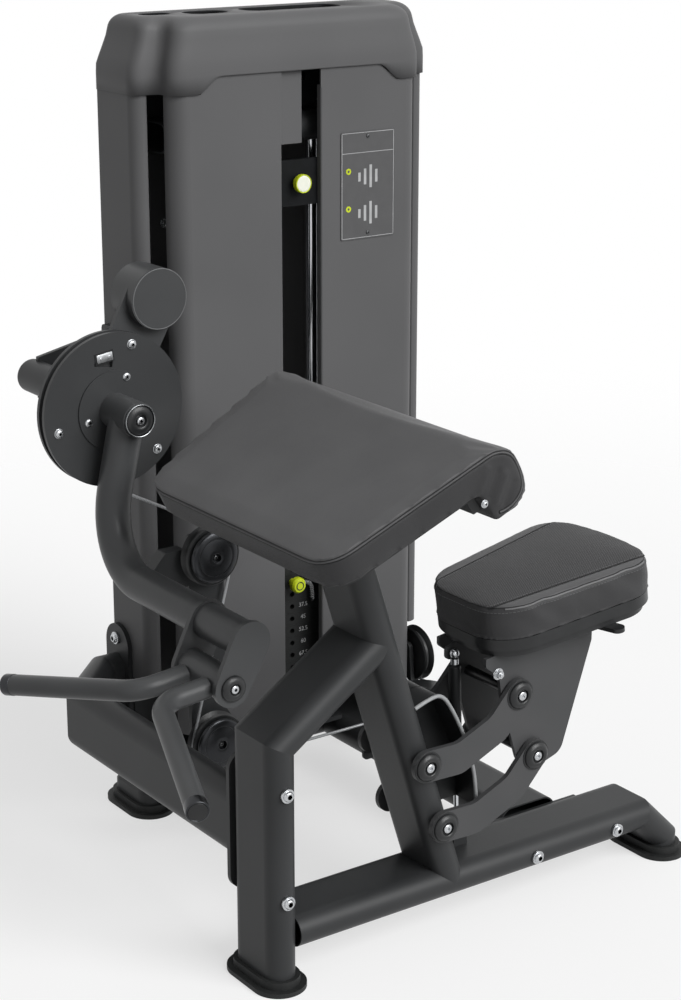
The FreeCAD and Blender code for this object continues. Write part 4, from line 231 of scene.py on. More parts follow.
def make_finishes():
    """Every finish of the machine, by the record's slot name and a few of their own."""
    return {
        "frame_paint": powder_coat("frame_powder_coat", "#2d2e2f", "#333435"),
        "arm_paint": powder_coat("arm_powder_coat", "#3f4041", "#454647", 0.34, 0.42),
        # A darker copy of the arm's powder coat for the cam disc: painted shade on its face
        "cam_painted_shade": powder_coat("cam_powder_coat_painted_shade", "#353637", "#3b3c3d", 0.34, 0.42),
        "link_paint": powder_coat("link_powder_coat", "#434445", "#49494a"),
        "cover_shell": moulded_shell("cover_abs", "#565657", "#5c5c5d"),
        "dark_shell": plain_plastic("black_abs", "#1d1e1f", "#232425", 0.30, 0.42),
        "foot_rubber": moulded_rubber("foot_rubber", "#1b1c1c", "#262727"),
        "pad_skin": leatherette("pad_leatherette", "#525253", "#585859"),
        "pad_band": leatherette("pad_band_leatherette", "#2f2f30", "#353536", 2.8, 0.6),
        "seat_band": leatherette("seat_band_leatherette", "#353536", "#3b3b3c", 2.4, 0.35),
        "pad_piping": leatherette("piping_leatherette", "#505051", "#565657", 1.6, 0.2),
        "seat_top": ribbed_cloth("seat_ribbed_fabric", "#1f1f20", "#505051", 52),
        "steel": bare_metal("zinc_plated_steel", "#a9abae", "#cfd1d3", 0.20, 0.34),
        "plated": bare_metal("chromed_rod", "#b9bbbe", "#d5d7da", 0.08, 0.16),
        "grip_metal": bare_metal("black_anodised_aluminium", "#38393a", "#47484a", 0.26, 0.38),
        "stack_iron": powder_coat("weight_plate_paint", "#1b1c1c", "#222323", 0.4, 0.52),
        "knob_accent": plain_plastic("lime_abs", "#b9c81c", "#c8d726", 0.3, 0.38),
        "knob_disc": plain_plastic("ivory_abs", "#e8eadb", "#f2f3e6", 0.3, 0.38),
        "pulley_plastic": plain_plastic("pulley_nylon", "#1b1c1d", "#222324", 0.32, 0.44),
        "placard_print": plain_plastic("placard_film", "#4c4c4d", "#505051", 0.4, 0.5),
        "placard_ink": plain_plastic("placard_grey_ink", "#a9aaab", "#b4b5b6", 0.45, 0.55),
        "cable_steel": coated_rope("coated_wire_rope"),
        "guard_black": powder_coat("guard_powder_coat", "#1b1c1d", "#212223"),
        "lanyard_skin": plain_plastic("lanyard_polyurethane", "#8d8e8f", "#a3a4a5", 0.3, 0.4),
        "turned_black": bare_metal("black_anodised_face", "#37383a", "#3b3c3e", 0.27, 0.31),
        "clamp_metal": bare_metal("machined_aluminium", "#b6b8ba", "#c2c4c6", 0.32, 0.4, 6.0),
        "turned_rim": bare_metal("turned_rim", "#8a8c8e", "#9a9c9e", 0.2, 0.3),
        "black_steel": bare_metal("black_oxide_screw", "#4a4b4c", "#5c5d5e", 0.24, 0.36),
        "thread": plain_plastic("bonded_thread", "#545455", "#626263", 0.6, 0.7),
        # Near-black lines laid in the seams' valleys: painted shade
        "painted_seam_shade": plain_plastic("painted_seam_shade_plastic", "#0e0e0f", "#151516", 0.7, 0.8),
        "seat_bead": leatherette("bead_leatherette", "#6e6e6f", "#787879", 1.6, 0.2),
        # Pale powder coat for a painted highlight round the counterweight drum's front edge
        "painted_edge_highlight": powder_coat("powder_coat_painted_highlight", "#707172", "#7a7b7c"),
        "edge_trim": plain_plastic("grey_edge_trim", "#8e9091", "#9a9c9d", 0.4, 0.5),
        # Near black, for the increment carriage, and as painted shade on the walls and floors of the cap's
        # trays
        "carriage_black_and_tray_shade": plain_plastic("black_abs_and_tray_shade", "#111213", "#17181a", 0.5, 0.6, 1.5, 0.08),
        "gloss_black": plain_plastic("gloss_black_nylon", "#121314", "#191a1b", 0.16, 0.22),
    }


FINISH = {}
# The cam disc takes the darker copy of the arm's coat, which paints shade on its face
OWN_FINISH = {"pulley_axles": "black_steel", "upper_link": "link_paint", "lower_link": "link_paint",
              "seat_carrier": "link_paint", "cam_disc": "cam_painted_shade", "increment_carriage": "carriage_black_and_tray_shade"}


def finish_of(name):
    """A finish by its name; all are made when the first is asked for."""
    if not FINISH:
        FINISH.update(make_finishes())
    return FINISH[name]


# Meshes

def added(bm, before):
    """The vertices that a bmesh has gained."""
    return [v for v in bm.verts if v not in before]


def turn(axis, spin_deg=0):
    """The rotation that sets a piece made about +Z along an axis."""
    aim = Vector((0, 0, 1)).rotation_difference(Vector(axis)).to_matrix().to_4x4()
    return aim @ Matrix.Rotation(math.radians(spin_deg), 4, "Z")


def lathe(bm, profile, centre, axis, segments=40):
    """Spins a profile of (radius, height) in millimetres about an axis through a centre."""
    before = set(bm.verts)
    made = [bm.verts.new((r * MM, 0, h * MM)) for r, h in profile]
    edges = [bm.edges.new(pair) for pair in zip(made, made[1:])]
    bmesh.ops.spin(bm, geom=made + edges, cent=(0, 0, 0), axis=(0, 0, 1), dvec=(0, 0, 0),
                   angle=math.tau, steps=segments, use_merge=True)
    bmesh.ops.remove_doubles(bm, verts=added(bm, before), dist=1e-6)
    verts = added(bm, before)
    bmesh.ops.transform(bm, matrix=Matrix.Translation(centre) @ turn(axis), verts=verts)
    chosen = set(verts)
    faces = [f for f in bm.faces if f.verts[0] in chosen]
    bmesh.ops.recalc_face_normals(bm, faces=faces)
    return faces


def rounded(points, radius, steps=3):
    """A profile whose inner corners are arcs of a radius, in millimetres."""
    out = [points[0]]
    for before, corner, after in zip(points, points[1:], points[2:]):
        a, b, c = Vector(before), Vector(corner), Vector(after)
        reach = min(radius, (a - b).length * 0.45, (c - b).length * 0.45)
        first, last = b + (a - b).normalized() * reach, b + (c - b).normalized() * reach
        for i in range(steps + 1):
            t = i / steps
            out.append(tuple((first * (1 - t) + b * t) * (1 - t) + (b * (1 - t) + last * t) * t))
    out.append(points[-1])
    return out


def button_head(bm, centre, axis, radius=7.0, tall=4.6, spin_deg=0.0, socket_share=0.36):
    """A domed bolt head with a six-sided socket."""
    before = set(bm.verts)
    rim = radius * (socket_share + 0.2)
    lathe(bm, rounded([(radius, 0), (radius, tall * 0.25), (radius * 0.86, tall * 0.8), (rim, tall)], 1.0),
          (0, 0, 0), UP, 24)
    top = max(v.co.z for v in added(bm, before))
    edge = [e for e in bm.edges if e.is_boundary and all(abs(v.co.z - top) < 1e-6 for v in e.verts)
            and e.verts[0] not in before]
    socket = bmesh.ops.create_circle(bm, segments=6, radius=radius * socket_share * MM, cap_ends=False,
                                     matrix=Matrix.Translation((0, 0, top)))["verts"]
    hexagon = list({e for v in socket for e in v.link_edges})
    bmesh.ops.bridge_loops(bm, edges=edge + hexagon)
    walls = bmesh.ops.extrude_edge_only(bm, edges=hexagon)["geom"]
    low = [v for v in walls if isinstance(v, bmesh.types.BMVert)]
    bmesh.ops.translate(bm, verts=low, vec=(0, 0, -tall * 0.45 * MM))
    bmesh.ops.contextual_create(bm, geom=[e for e in walls if isinstance(e, bmesh.types.BMEdge)])
    verts = added(bm, before)
    bmesh.ops.transform(bm, matrix=Matrix.Translation(centre) @ turn(axis, spin_deg), verts=verts)
    chosen = set(verts)
    bmesh.ops.recalc_face_normals(bm, faces=[f for f in bm.faces if f.verts[0] in chosen])


def washer(bm, centre, axis, radius, tall=2.0, bore=3.0):
    """A plain washer with softened edges."""
    section = [(bore, 0), (radius, 0), (radius, tall), (bore, tall), (bore, 0)]
    lathe(bm, rounded(section, 0.5), centre, axis, 28)


def outward(centre, axis, distance):
    """A point some millimetres from a centre along an axis."""
    return Vector(centre) + Vector(axis).normalized() * distance * MM


def loft(bm, rings, close_first=True, close_last=True):
    """Joins rings of points, each the same count, into one closed skin."""
    loops = []
    for ring in rings:
        verts = [bm.verts.new(point) for point in ring]
        edges = [bm.edges.new((a, b)) for a, b in zip(verts, verts[1:] + verts[:1])]
        loops.append((verts, edges))
    for (first, _), (second, _) in zip(loops, loops[1:]):
        count = len(first)
        for i in range(count):
            j = (i + 1) % count
            bm.faces.new((first[i], first[j], second[j], second[i]))
    if close_first:
        bm.faces.new(list(reversed(loops[0][0])))
    if close_last:
        bm.faces.new(loops[-1][0])
    return loops


def piece(name, bm, material, body, angle=35):
    """Makes an object of a mesh that stands in the frame, shades it and sets it on its body."""
    mesh = bpy.data.meshes.new(name)
    bm.normal_update()
    bm.to_mesh(mesh)
    bm.free()
    return finish_piece(name, mesh, material, body, angle)


def finish_piece(name, mesh, material, body, angle=35):
    """Makes an object of a finished mesh, shades it and sets it on its body."""
    made = bpy.data.objects.new(name, mesh)
    bpy.context.scene.collection.objects.link(made)
    mesh.materials.clear()
    mesh.materials.append(finish_of(material))
    mesh.shade_smooth()
    if angle < 180:
        mesh.set_sharp_from_angle(angle=math.radians(angle))
    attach(made, body)
    return made


def merged_copy(node_name, distance=1e-5):
    """A copy of a CAD node's mesh with its loose triangles joined."""
    bm = bmesh.new()
    bm.from_mesh(NODES[node_name].data)
    bmesh.ops.remove_doubles(bm, verts=bm.verts, dist=distance)
    return bm


BODY_OF = {name: body for body, names in frame["record"]["behaviour"]["bodies"].items() for name in names}
SLOT_OF = {entry["node"]: entry["material_slot"] for entry in frame["record"]["subparts"]}


def stand_in(name, bm, material, node_name, angle=35):
    """A piece that rides with a CAD node, in a given finish."""
    return piece(name, bm, material, BODY_OF[node_name], angle)


def mesh_of_curve(curve):
    """The mesh of a curve's swept skin, or the points of a bare one."""
    holder = bpy.data.objects.new(curve.name, curve)
    mesh = bpy.data.meshes.new_from_object(holder)
    bpy.data.objects.remove(holder)
    bpy.data.curves.remove(curve)
    return mesh


def swept(name, points, radius, closed=False, kind="POLY"):
    """A mesh tube along a line of points."""
    curve = bpy.data.curves.new(name, "CURVE")
    curve.dimensions = "3D"
    curve.bevel_depth = radius
    curve.bevel_resolution = 2
    curve.use_fill_caps = not closed
    curve.twist_mode = "MINIMUM"
    spline = curve.splines.new(kind)
    spline.points.add(len(points) - 1)
    for point, place in zip(spline.points, points):
        point.co = (*place, 1)
    spline.use_cyclic_u = closed
    return mesh_of_curve(curve)


def smooth_line(points):
    """The points of the smooth spline that a route's control points make."""
    curve = bpy.data.curves.new("route", "CURVE")
    curve.dimensions = "3D"
    curve.resolution_u = 24
    spline = curve.splines.new("NURBS")
    spline.points.add(len(points) - 1)
    for point, place in zip(spline.points, points):
        point.co = (*place, 1)
    spline.order_u = 3
    spline.use_endpoint_u = True
    return [v.co.copy() for v in mesh_of_curve(curve).vertices]


def coiled(line, radius, pitch, steps=14):
    """The points of a helix about a line."""
    lengths = [0.0]
    for a, b in zip(line, line[1:]):
        lengths.append(lengths[-1] + (b - a).length)
    turns = lengths[-1] / pitch
    count = int(turns * steps)
    side = Vector((0, 1, 0))
    points = []
    j = 0
    for i in range(count + 1):
        here = lengths[-1] * i / count
        while j < len(line) - 2 and lengths[j + 1] < here:
            j += 1
        along = (line[j + 1] - line[j]).normalized()
        centre = line[j] + along * (here - lengths[j])
        across = along.cross(side).normalized()
        angle = math.tau * i / steps
        points.append(centre + (side * math.cos(angle) + across * math.sin(angle)) * radius)
    return points


def add_bolt(bm, centre, axis, radius=8.0, tall=5.0, collar=None, collar_tall=3.0, socket_share=0.36):
    """A button head with a six-sided socket, on a collar if it has one."""
    lift = 0
    if collar:
        washer(bm, centre, axis, collar, collar_tall, radius * 0.5)
        lift = collar_tall
    button_head(bm, outward(centre, axis, lift), axis, radius, tall, 12, socket_share)


def domed_cap(bm, centre, axis, radius, tall, well):
    """A turned cap: thin edge, low dome, and a well at its middle for the bolt."""
    deep = tall * 0.42
    profile = [(0, deep), (well, deep), (well, tall * 0.86), (well * 1.12, tall * 0.98), (well * 1.3, tall)]
    for share in (0.2, 0.4, 0.6, 0.8, 0.93):
        r = well * 1.3 + (radius - well * 1.3) * share
        profile.append((r, tall - tall * 0.62 * share ** 2.2))
    profile += [(radius, tall * 0.26), (radius, 0), (radius * 0.9, 0)]
    lathe(bm, profile, centre, axis, 56)


def capped_bolt(caps, bolts, centre, axis, cap, sunk, head):
    """A domed cap, by its radius, height and well, with a button head sunk in the well."""
    domed_cap(caps, centre, axis, *cap)
    add_bolt(bolts, outward(centre, axis, sunk), axis, *head)


def slab(bm, centre, size, lean=Matrix()):
    """A box of a size in metres about a centre."""
    shape = Matrix.Diagonal((*size, 1))
    bmesh.ops.create_cube(bm, size=1, matrix=Matrix.Translation(centre) @ lean @ shape)


def tilted(origin, degrees):
    """A frame that stands at a place and slopes up along its own X."""
    return Matrix.Translation(origin) @ Matrix.Rotation(math.radians(-degrees), 4, "Y")


# Places and sizes, in millimetres from the foot of the front leg. A head is a bolt's radius and
# height, then its collar's; a cap is its radius, height and well

CAMERA, CAMERA_FALL, CAMERA_TURN = (-1949.4, -2981.6, 2016.0), 17.3, 35.34
LAMPS = (350, 300, 3000)
# The floor in metres: its radius, where it fades out, and how far it lies under the feet
FLOOR_RADIUS, FLOOR_FADE, FLOOR_DROP = 9, (1.5, 4.5), 0.0005

LINK_FACE = 88
LINK_PINS = {"column_pins": ((297.5, 368.0), (339.2, 236.5)), "carrier_pin_upper": ((511.1, 458.6),),
             "carrier_pin_lower": ((552.8, 327.1),)}
LINK_SHAFT, LINK_WASHER = 10, (30.2, 1.4)
LINK_CAP, LINK_SUNK, LINK_HEAD = (27, 10.2, 13), 4.2, (9.8, 6.4)

PIVOT, HUB_FACE = (-20, 968), 372
HUB_CAP, HUB_SUNK, HUB_HEAD = (28.5, 8.6, 12), 3.4, (8.4, 5.4)
HUB_RIM = ((28.5, 0), (30.8, 0), (30.8, 6.2), (30, 7), (28.5, 6.2), (28.5, 0))
SWIVEL, FORK_FACE = (-108.1, 612), 72
SWIVEL_CAP, SWIVEL_SUNK, SWIVEL_HEAD = (23.5, 9, 10.5), 3.6, (8.4, 5.6)
CAM_FACE, CAM_HEAD = 462, (8.2, 4.8, 9.6, 1.4)
CAM_BOLTS = ((20, 1087), (-137, 941), (69, 879), (6, 1028), (-76, 952))
DRUM_FACE = (88, 470, 1162)
# A thin pale ring on the drum's front edge, by radius and height: a painted highlight
DRUM_HIGHLIGHT_RING = ((55.9, 0), (57.6, 0), (57.2, 0.6), (56.2, 0.7), (55.9, 0))
# The cable clamp: its place and lean, then width, depth and height of its pocket, drawn as a thin dark sheet
# of painted shade, and of its block
CLAMP, CLAMP_LEAN = (-38, 1070), 8
CLAMP_POCKET_SHADE, CLAMP_BLOCK, CLAMP_EDGE = (40, 0.8, 22), (33, 3.4, 16), 1.2
CLAMP_SCREWS, CLAMP_SCREW = (-9, 9), (3.2, 1.4)

FRAME_HEAD, TOWER_HEAD = (10, 5.4, 13.2, 5.6, 0.52), (7, 5, 9, 2)
FRAME_BOLTS = (((0, -70, 177), FRONT, FRAME_HEAD), ((0, -70, 385), FRONT, FRAME_HEAD),
               ((579.5, -70, 100), FRONT, FRAME_HEAD), ((784.5, -70, 100), FRONT, FRAME_HEAD),
               ((140, 768, 180), LEFT, FRAME_HEAD), ((140, 768, 388), LEFT, FRAME_HEAD),
               ((291, 792, 1236), FRONT, TOWER_HEAD))

# A pulley's cover: radius and height, and the radius and height of each thin bright ring on it
PULLEY_COVER, PULLEY_GAP, PULLEY_HEAD, PULLEY_SUNK = (52, 9), 0.3, (5.4, 3.8), 4.5
PULLEY_RINGS, RING_SIZE = ((37.8, 7.7), (9.6, 11.2), (52.4, 3.2)), (0.9, 0.5)

PLACARD_FACE, PRINT_THICK, PLACARD_MARGIN, PLACARD_LINE, PLACARD_HEADING = 598.5, 0.15, 3, 1.1, 40
PLACARD_ROWS, PLACARD_BARS, BAR_WIDE = (1322, 1248), ((636, 18), (650, 32), (664, 46), (678, 26)), 6
PLACARD_RINGS = ((609, 1335), (609, 1259))
PRINT_RING = ((2.6, 0), (6.2, 0), (6.2, 0.3), (2.6, 0.3), (2.6, 0))
PLACARD_SCREWS, PLACARD_SCREW = ((657, 1403), (657, 1208)), (4.2, 2.4)

STACK_LOW, STACK_PITCH, STACK_FACE = 184, 27.5, 644
# Weight numbers, by the plate that carries each, counted from the lowest
NUMBERS = ((8, "37.5"), (7, "45"), (6, "52.5"), (5, "60"), (4, "67.5"), (3, "75"), (2, "82.5"))
NUMBER_PLACE, NUMBER_TALL, NUMBER_RISE = (524, 13.6), 13, 0.2
PIN_FACE = (496, 613.1, 472.6)
PIN_RING = ((7.4, 0), (7.4, 0.7), (9.4, 0.7), (9.4, 0), (7.4, 0))
LANYARD_ROUTE = ((512.9, 631, 472.6), (526, 631, 472.4), (536.5, 631, 463), (538.6, 631, 447),
                 (538.8, 631, 431.9))
FERRULE = ((0, -5), (3.4, -5), (3.4, 0), (0, 0))

GRIP_LONG, GRIP_BAND, GRIP_RADIUS = 310.6, 290.8, 19.6
HANDLE_STEM, HANDLE_STEM_HALF = 122.6, 35
HANDLE_SPLAY, HANDLE_FALL, HANDLE_DIP = 20.6, 9.4, 5.6

GUARD_HALF, GUARD_THICK, GUARD_WEB, GUARD_TRIM = 60, 3, 6, 3.9
GUARD_PATH = ((434, 245), (432, 290), (420, 345), (399, 402), (374, 452), (352, 485), (328, 490), (287, 475))
# Where the guard's web meets the column, at its foot and at its top
WEB_FOOT, WEB_TOP = (335, 245), 264
SPRING_FOOT, SPRING_TOP, BALL_RADIUS, BALL_RISE = (452, 20, 160), (440, 20, 520), 9.4, 3
BALL_NECK = ((0, -19), (6.6, -19), (7.9, -17.6), (7.9, -7.5), (6.9, -6.6), (6.9, -4))
CARRIER_BOLT, NUT_RADIUS, NUT_TALL, NUT_RISE = (468, -74, 506), 7.6, 6, 6.8
CARRIER_WASHERS, CARRIER_STUD = ((0, 11.5, 2.2), (2.2, 9.6, 1.6)), ((0, 0), (4, 0), (4, 13.4), (0, 14))

# The tower's cap: heights, half widths, and its trays as their middle, half length and half depth
CAP_SKIRT, CAP_SEAM, CAP_SHOULDER, CAP_TOP = 1512, 1544, 1562, 1655
CAP_FRONT_HALF, CAP_HALF, CAP_ARCH, CAP_SLANT, TOWER_AXIS = 294, 350, 186, 240, 496
CAP_FRONT, CAP_STEP, CAP_BACK, CAP_ROUND, CAP_WALL = 596, 651, 800, 32, 3
CAP_TRAYS = ((-258, 719, 31, 22), (-156, 700, 45, 32), (42, 700, 113, 36))
TRAY_DEEP, TRAY_DRAFT, TRAY_LIP = 42, 2, 2.4
# How far the cap's plan is drawn in at its front and at its sides, by height
CAP_LEVELS = ((0, 0, CAP_SKIRT), (0, 0, CAP_SEAM + 2), (0, 1, CAP_SHOULDER), (1.5, 8, 1580),
              (4, 15, 1598), (6, 21, 1614))

# The arm pad, in its own sloping frame: along it from the low edge, across it, and up from its top
PAD_PLACE = tilted(at(-70, 0, 880), 26.6)
PAD_LONG, PAD_ROLL, PAD_CORNER, PAD_START = 330, 62, 65, 84.5
PAD_LOW_HALF, PAD_HIGH_HALF, PAD_SEAM = 284, 332, 9
# Folds on the roll's ends, from its middle: where each starts and ends, how wide and how tall
ROLL_FOLDS = (((-34, 8), (-6, 34), 7, 2.2), ((-24, -14), (8, 18), 6, -2.6), ((-14, -26), (18, 6), 7, 2.4),
              ((-2, -44), (26, -16), 7, -2.4))
PAD_BOLT, PAD_HEAD = (227, 320, 941), (5.6, 3.6, 7.2, 1.2)

# The seat, in its own tilted frame: along it from the narrow end, across it, and up from the tray's foot.
# Its bead runs between two places along it, where its edge lies further out than a third size
SEAT_PLACE = tilted(at(440, 0, 540), 8)
SEAT_LONG, SEAT_TRAY, SEAT_TOP, SEAT_SEAM = 386, 38, 108, 6
SEAT_PLAN = ((-3, -121, 92), (367, -161, 73), (388, 0, 79), (367, 161, 73), (-3, 121, 92))
SEAT_RIB_LOW, SEAT_RIB_HIGH, SEAT_BEAD = 84, 134, (24, 340, 100)

# Padding: the height that a pad lies flat below, the remeshed grid, how far the plain pad is pulled in
# first, and the width and depth of each seam's valley
PAD_UNDER, PAD_VOXEL, PAD_PULL, PAD_VALLEY = -52, 6, 2.5, (7, 2.4)
SEAT_UNDER, SEAT_VOXEL, SEAT_PULL, SEAT_VALLEY, ROW_VALLEY = 44, 5, 3.5, (6, 1.8), (5, 2.2)
# Seam spacing, then the lift and step aside of the near-black lines of painted shade beside the seams
SEAM_STEP, ROLL_STEP, SHADE_LINE_LIFT, SHADE_LINE_ASIDE = 3, 6.2, 0.1, 3.1
STITCH_RADIUS, STITCH_LONG, STITCH_GAP = 0.6, 4.6, 2.6
STITCH_LIFT, STITCH_ASIDE, STITCH_DROP = 0.2, 5, 7


def light_setting(name, description, default):
    """A setting for the strength of a light."""
    return FloatProperty(name=name, description=description, default=default, min=0)


def length_setting(name, description, default, least=0):
    """A setting for a length in metres."""
    return FloatProperty(name=name, description=description, default=default, min=least,
                         subtype="DISTANCE", unit="LENGTH")


class MachineSettings(bpy.types.PropertyGroup):
    """Sizes and light that a user would change."""

    lens: FloatProperty(name="Lens", description="Camera lens in millimetres on a 36 mm frame",
                        default=79.03, min=10)
    key_light: light_setting("Key light", "Strength of the sun from the front right", 3.0)
    top_light: light_setting("Top light", "Strength of the sun overhead", 0.15)
    sky_light: light_setting("Sky light", "Strength of the soft light all round", 0.30)
    pad_swell: length_setting("Pad swell", "How far the arm pad may puff out", 0.004)
    seat_swell: length_setting("Seat swell", "How far the seat cushion may puff out", 0.008)
    piping: length_setting("Piping", "Radius of the sewn piping", 0.0018)
    cloth_frames: IntProperty(name="Cloth frames", description="Steps of the padding's simulation",
                              default=20, min=1)
    lanyard_coil: length_setting("Lanyard coil", "Outer diameter of the curly lanyard", 0.0094)
    lanyard_strand: length_setting("Lanyard strand", "Diameter of the lanyard's strand", 0.0019)
    lanyard_pitch: length_setting("Lanyard pitch", "Distance between the lanyard's turns", 0.0042, 0.001)


class CURL_OT_stage(bpy.types.Operator):
    """Floor, studio light and the photograph's camera"""

    bl_idname = "curl.stage"
    bl_label = "Stage"

    def execute(self, context):
        settings = context.scene.curl_machine
        scene = context.scene
        scene.view_settings.view_transform = "Standard"
        eye = bpy.data.cameras.new("camera")
        eye.sensor_width = 36
        eye.lens = settings.lens
        eye.clip_end = 60
        camera = bpy.data.objects.new("camera", eye)
        camera.location = at(*CAMERA)
        camera.rotation_euler = (math.radians(90 - CAMERA_FALL), 0, math.radians(-CAMERA_TURN))
        scene.collection.objects.link(camera)
        scene.camera = camera
        self.floor(scene)
        self.world(scene, settings.sky_light)
        self.sun(scene, "key_sun", (-0.30, 0.90, -0.66), settings.key_light, 42)
        self.sun(scene, "top_sun", (-0.05, 0.05, -1.0), settings.top_light, 60)
        return {"FINISHED"}

    def floor(self, scene):
        """A pale round floor that fades out into the white round it."""
        bm = bmesh.new()
        bmesh.ops.create_circle(bm, cap_ends=True, segments=96, radius=FLOOR_RADIUS)
        mesh = bpy.data.meshes.new("floor")
        bm.to_mesh(mesh)
        bm.free()
        floor = bpy.data.objects.new("floor", mesh)
        floor.location.z = -FLOOR_DROP
        scene.collection.objects.link(floor)
        material, tree, shader, place = surface("studio_floor", 0.1, Roughness=0.9)
        path = node(tree, "ShaderNodeLightPath")
        seen = node(tree, "ShaderNodeMath", {"operation": "MAXIMUM"},
                    {0: path.outputs["Is Camera Ray"], 1: path.outputs["Is Glossy Ray"]}).outputs[0]
        tree.links.new(tint(tree, seen, "#b4b4b4", "#f9f9f9"), shader.inputs["Base Color"])
        away = node(tree, "ShaderNodeVectorMath", {"operation": "LENGTH"}, {0: place}).outputs["Value"]
        near, far = FLOOR_FADE
        fade = node(tree, "ShaderNodeMapRange",
                    {"From Min": near, "From Max": far, "interpolation_type": "SMOOTHSTEP"},
                    {"Value": away}).outputs["Result"]
        white = node(tree, "ShaderNodeEmission", {"Color": linear("#ffffff"), "Strength": 1.0})
        part = node(tree, "ShaderNodeMath", {"operation": "MULTIPLY", 1: 0.6}, {0: seen})
        lit = node(tree, "ShaderNodeMixShader",
                   links={0: part.outputs[0], 1: shader.outputs[0], 2: white.outputs[0]})
        clear = node(tree, "ShaderNodeBsdfTransparent")
        mix = node(tree, "ShaderNodeMixShader", links={0: fade, 1: lit.outputs[0], 2: clear.outputs[0]})
        out = [n for n in tree.nodes if n.type == "OUTPUT_MATERIAL"][0]
        tree.links.new(mix.outputs[0], out.inputs["Surface"])
        floor.data.materials.append(material)

    def world(self, scene, strength):
        """Plain white to the camera, in gloss and through glass, and soft light to the rest."""
        world = bpy.data.worlds.new("studio")
        scene.world = world
        world.use_nodes = True
        tree = world.node_tree
        tree.nodes.clear()
        path = node(tree, "ShaderNodeLightPath")
        seen = path.outputs["Is Camera Ray"]
        for other in ("Is Glossy Ray", "Is Transmission Ray"):
            seen = node(tree, "ShaderNodeMath", {"operation": "MAXIMUM"},
                        {0: seen, 1: path.outputs[other]}).outputs[0]
        white = linear("#ffffff")
        bright = node(tree, "ShaderNodeBackground", {"Color": white, "Strength": 1.0})
        soft = node(tree, "ShaderNodeBackground", {"Color": white, "Strength": strength})
        mix = node(tree, "ShaderNodeMixShader", links={0: seen, 1: soft.outputs[0], 2: bright.outputs[0]})
        node(tree, "ShaderNodeOutputWorld", links={"Surface": mix.outputs[0]})

    def sun(self, scene, name, heading, strength, angle):
        """A broad sun whose light travels along a heading."""
        data = bpy.data.lights.new(name, "SUN")
        data.energy = strength
        data.angle = math.radians(angle)
        lamp = bpy.data.objects.new(name, data)
        lamp.location = at(*LAMPS)
        lamp.rotation_euler = Vector(heading).to_track_quat("-Z", "Y").to_euler()
        scene.collection.objects.link(lamp)


class CURL_OT_lanyard(bpy.types.Operator):
    """Curly lanyard that keeps the selector pin with the stack"""

    bl_idname = "curl.lanyard"
    bl_label = "Pin lanyard"

    def execute(self, context):
        settings = context.scene.curl_machine
        line = smooth_line([at(*point) for point in LANYARD_ROUTE])
        strand = settings.lanyard_strand / 2
        points = coiled(line, settings.lanyard_coil / 2 - strand, settings.lanyard_pitch)
        curl = finish_piece("pin_lanyard_curl", swept("curl", points, strand), "lanyard_skin",
                            BODY_OF["pin_lanyard"], 60)
        bm = bmesh.new()
        lathe(bm, rounded(FERRULE, 1.0), line[-1], UP, 20)
        ferrule = stand_in("lanyard_ferrule", bm, "dark_shell", "pin_lanyard")
        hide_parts("pin_lanyard")
        return {"FINISHED"}


class CURL_OT_finishes(bpy.types.Operator):
    """Finishes of the pieces that keep their CAD shape"""

    bl_idname = "curl.finishes"
    bl_label = "Finishes"

    def execute(self, context):
        for name, slot in SLOT_OF.items():
            mesh = NODES[name].data
            mesh.materials.clear()
            mesh.materials.append(finish_of(OWN_FINISH.get(name, slot)))
        return {"FINISHED"}


class CURL_OT_link_pins(bpy.types.Operator):
    """Pivot pins of the seat links with their domed caps and button bolts"""

    bl_idname = "curl.link_pins"
    bl_label = "Link pins"

    def execute(self, context):
        for node_name, places in LINK_PINS.items():
            caps, bolts = bmesh.new(), bmesh.new()
            for x, z in places:
                shaft = [(0, 0), (LINK_SHAFT, 0), (LINK_SHAFT, 2 * LINK_FACE), (0, 2 * LINK_FACE)]
                lathe(caps, shaft, at(x, -LINK_FACE, z), BACK)
                for side, axis in ((-1, FRONT), (1, BACK)):
                    face = at(x, side * LINK_FACE, z)
                    washer(caps, face, axis, *LINK_WASHER, LINK_SHAFT)
                    capped_bolt(caps, bolts, face, axis, LINK_CAP, LINK_SUNK, LINK_HEAD)
            made = stand_in(node_name + "_caps", caps, "dark_shell", node_name)
            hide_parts(node_name)
            stand_in(node_name + "_bolts", bolts, "steel", node_name)
        return {"FINISHED"}


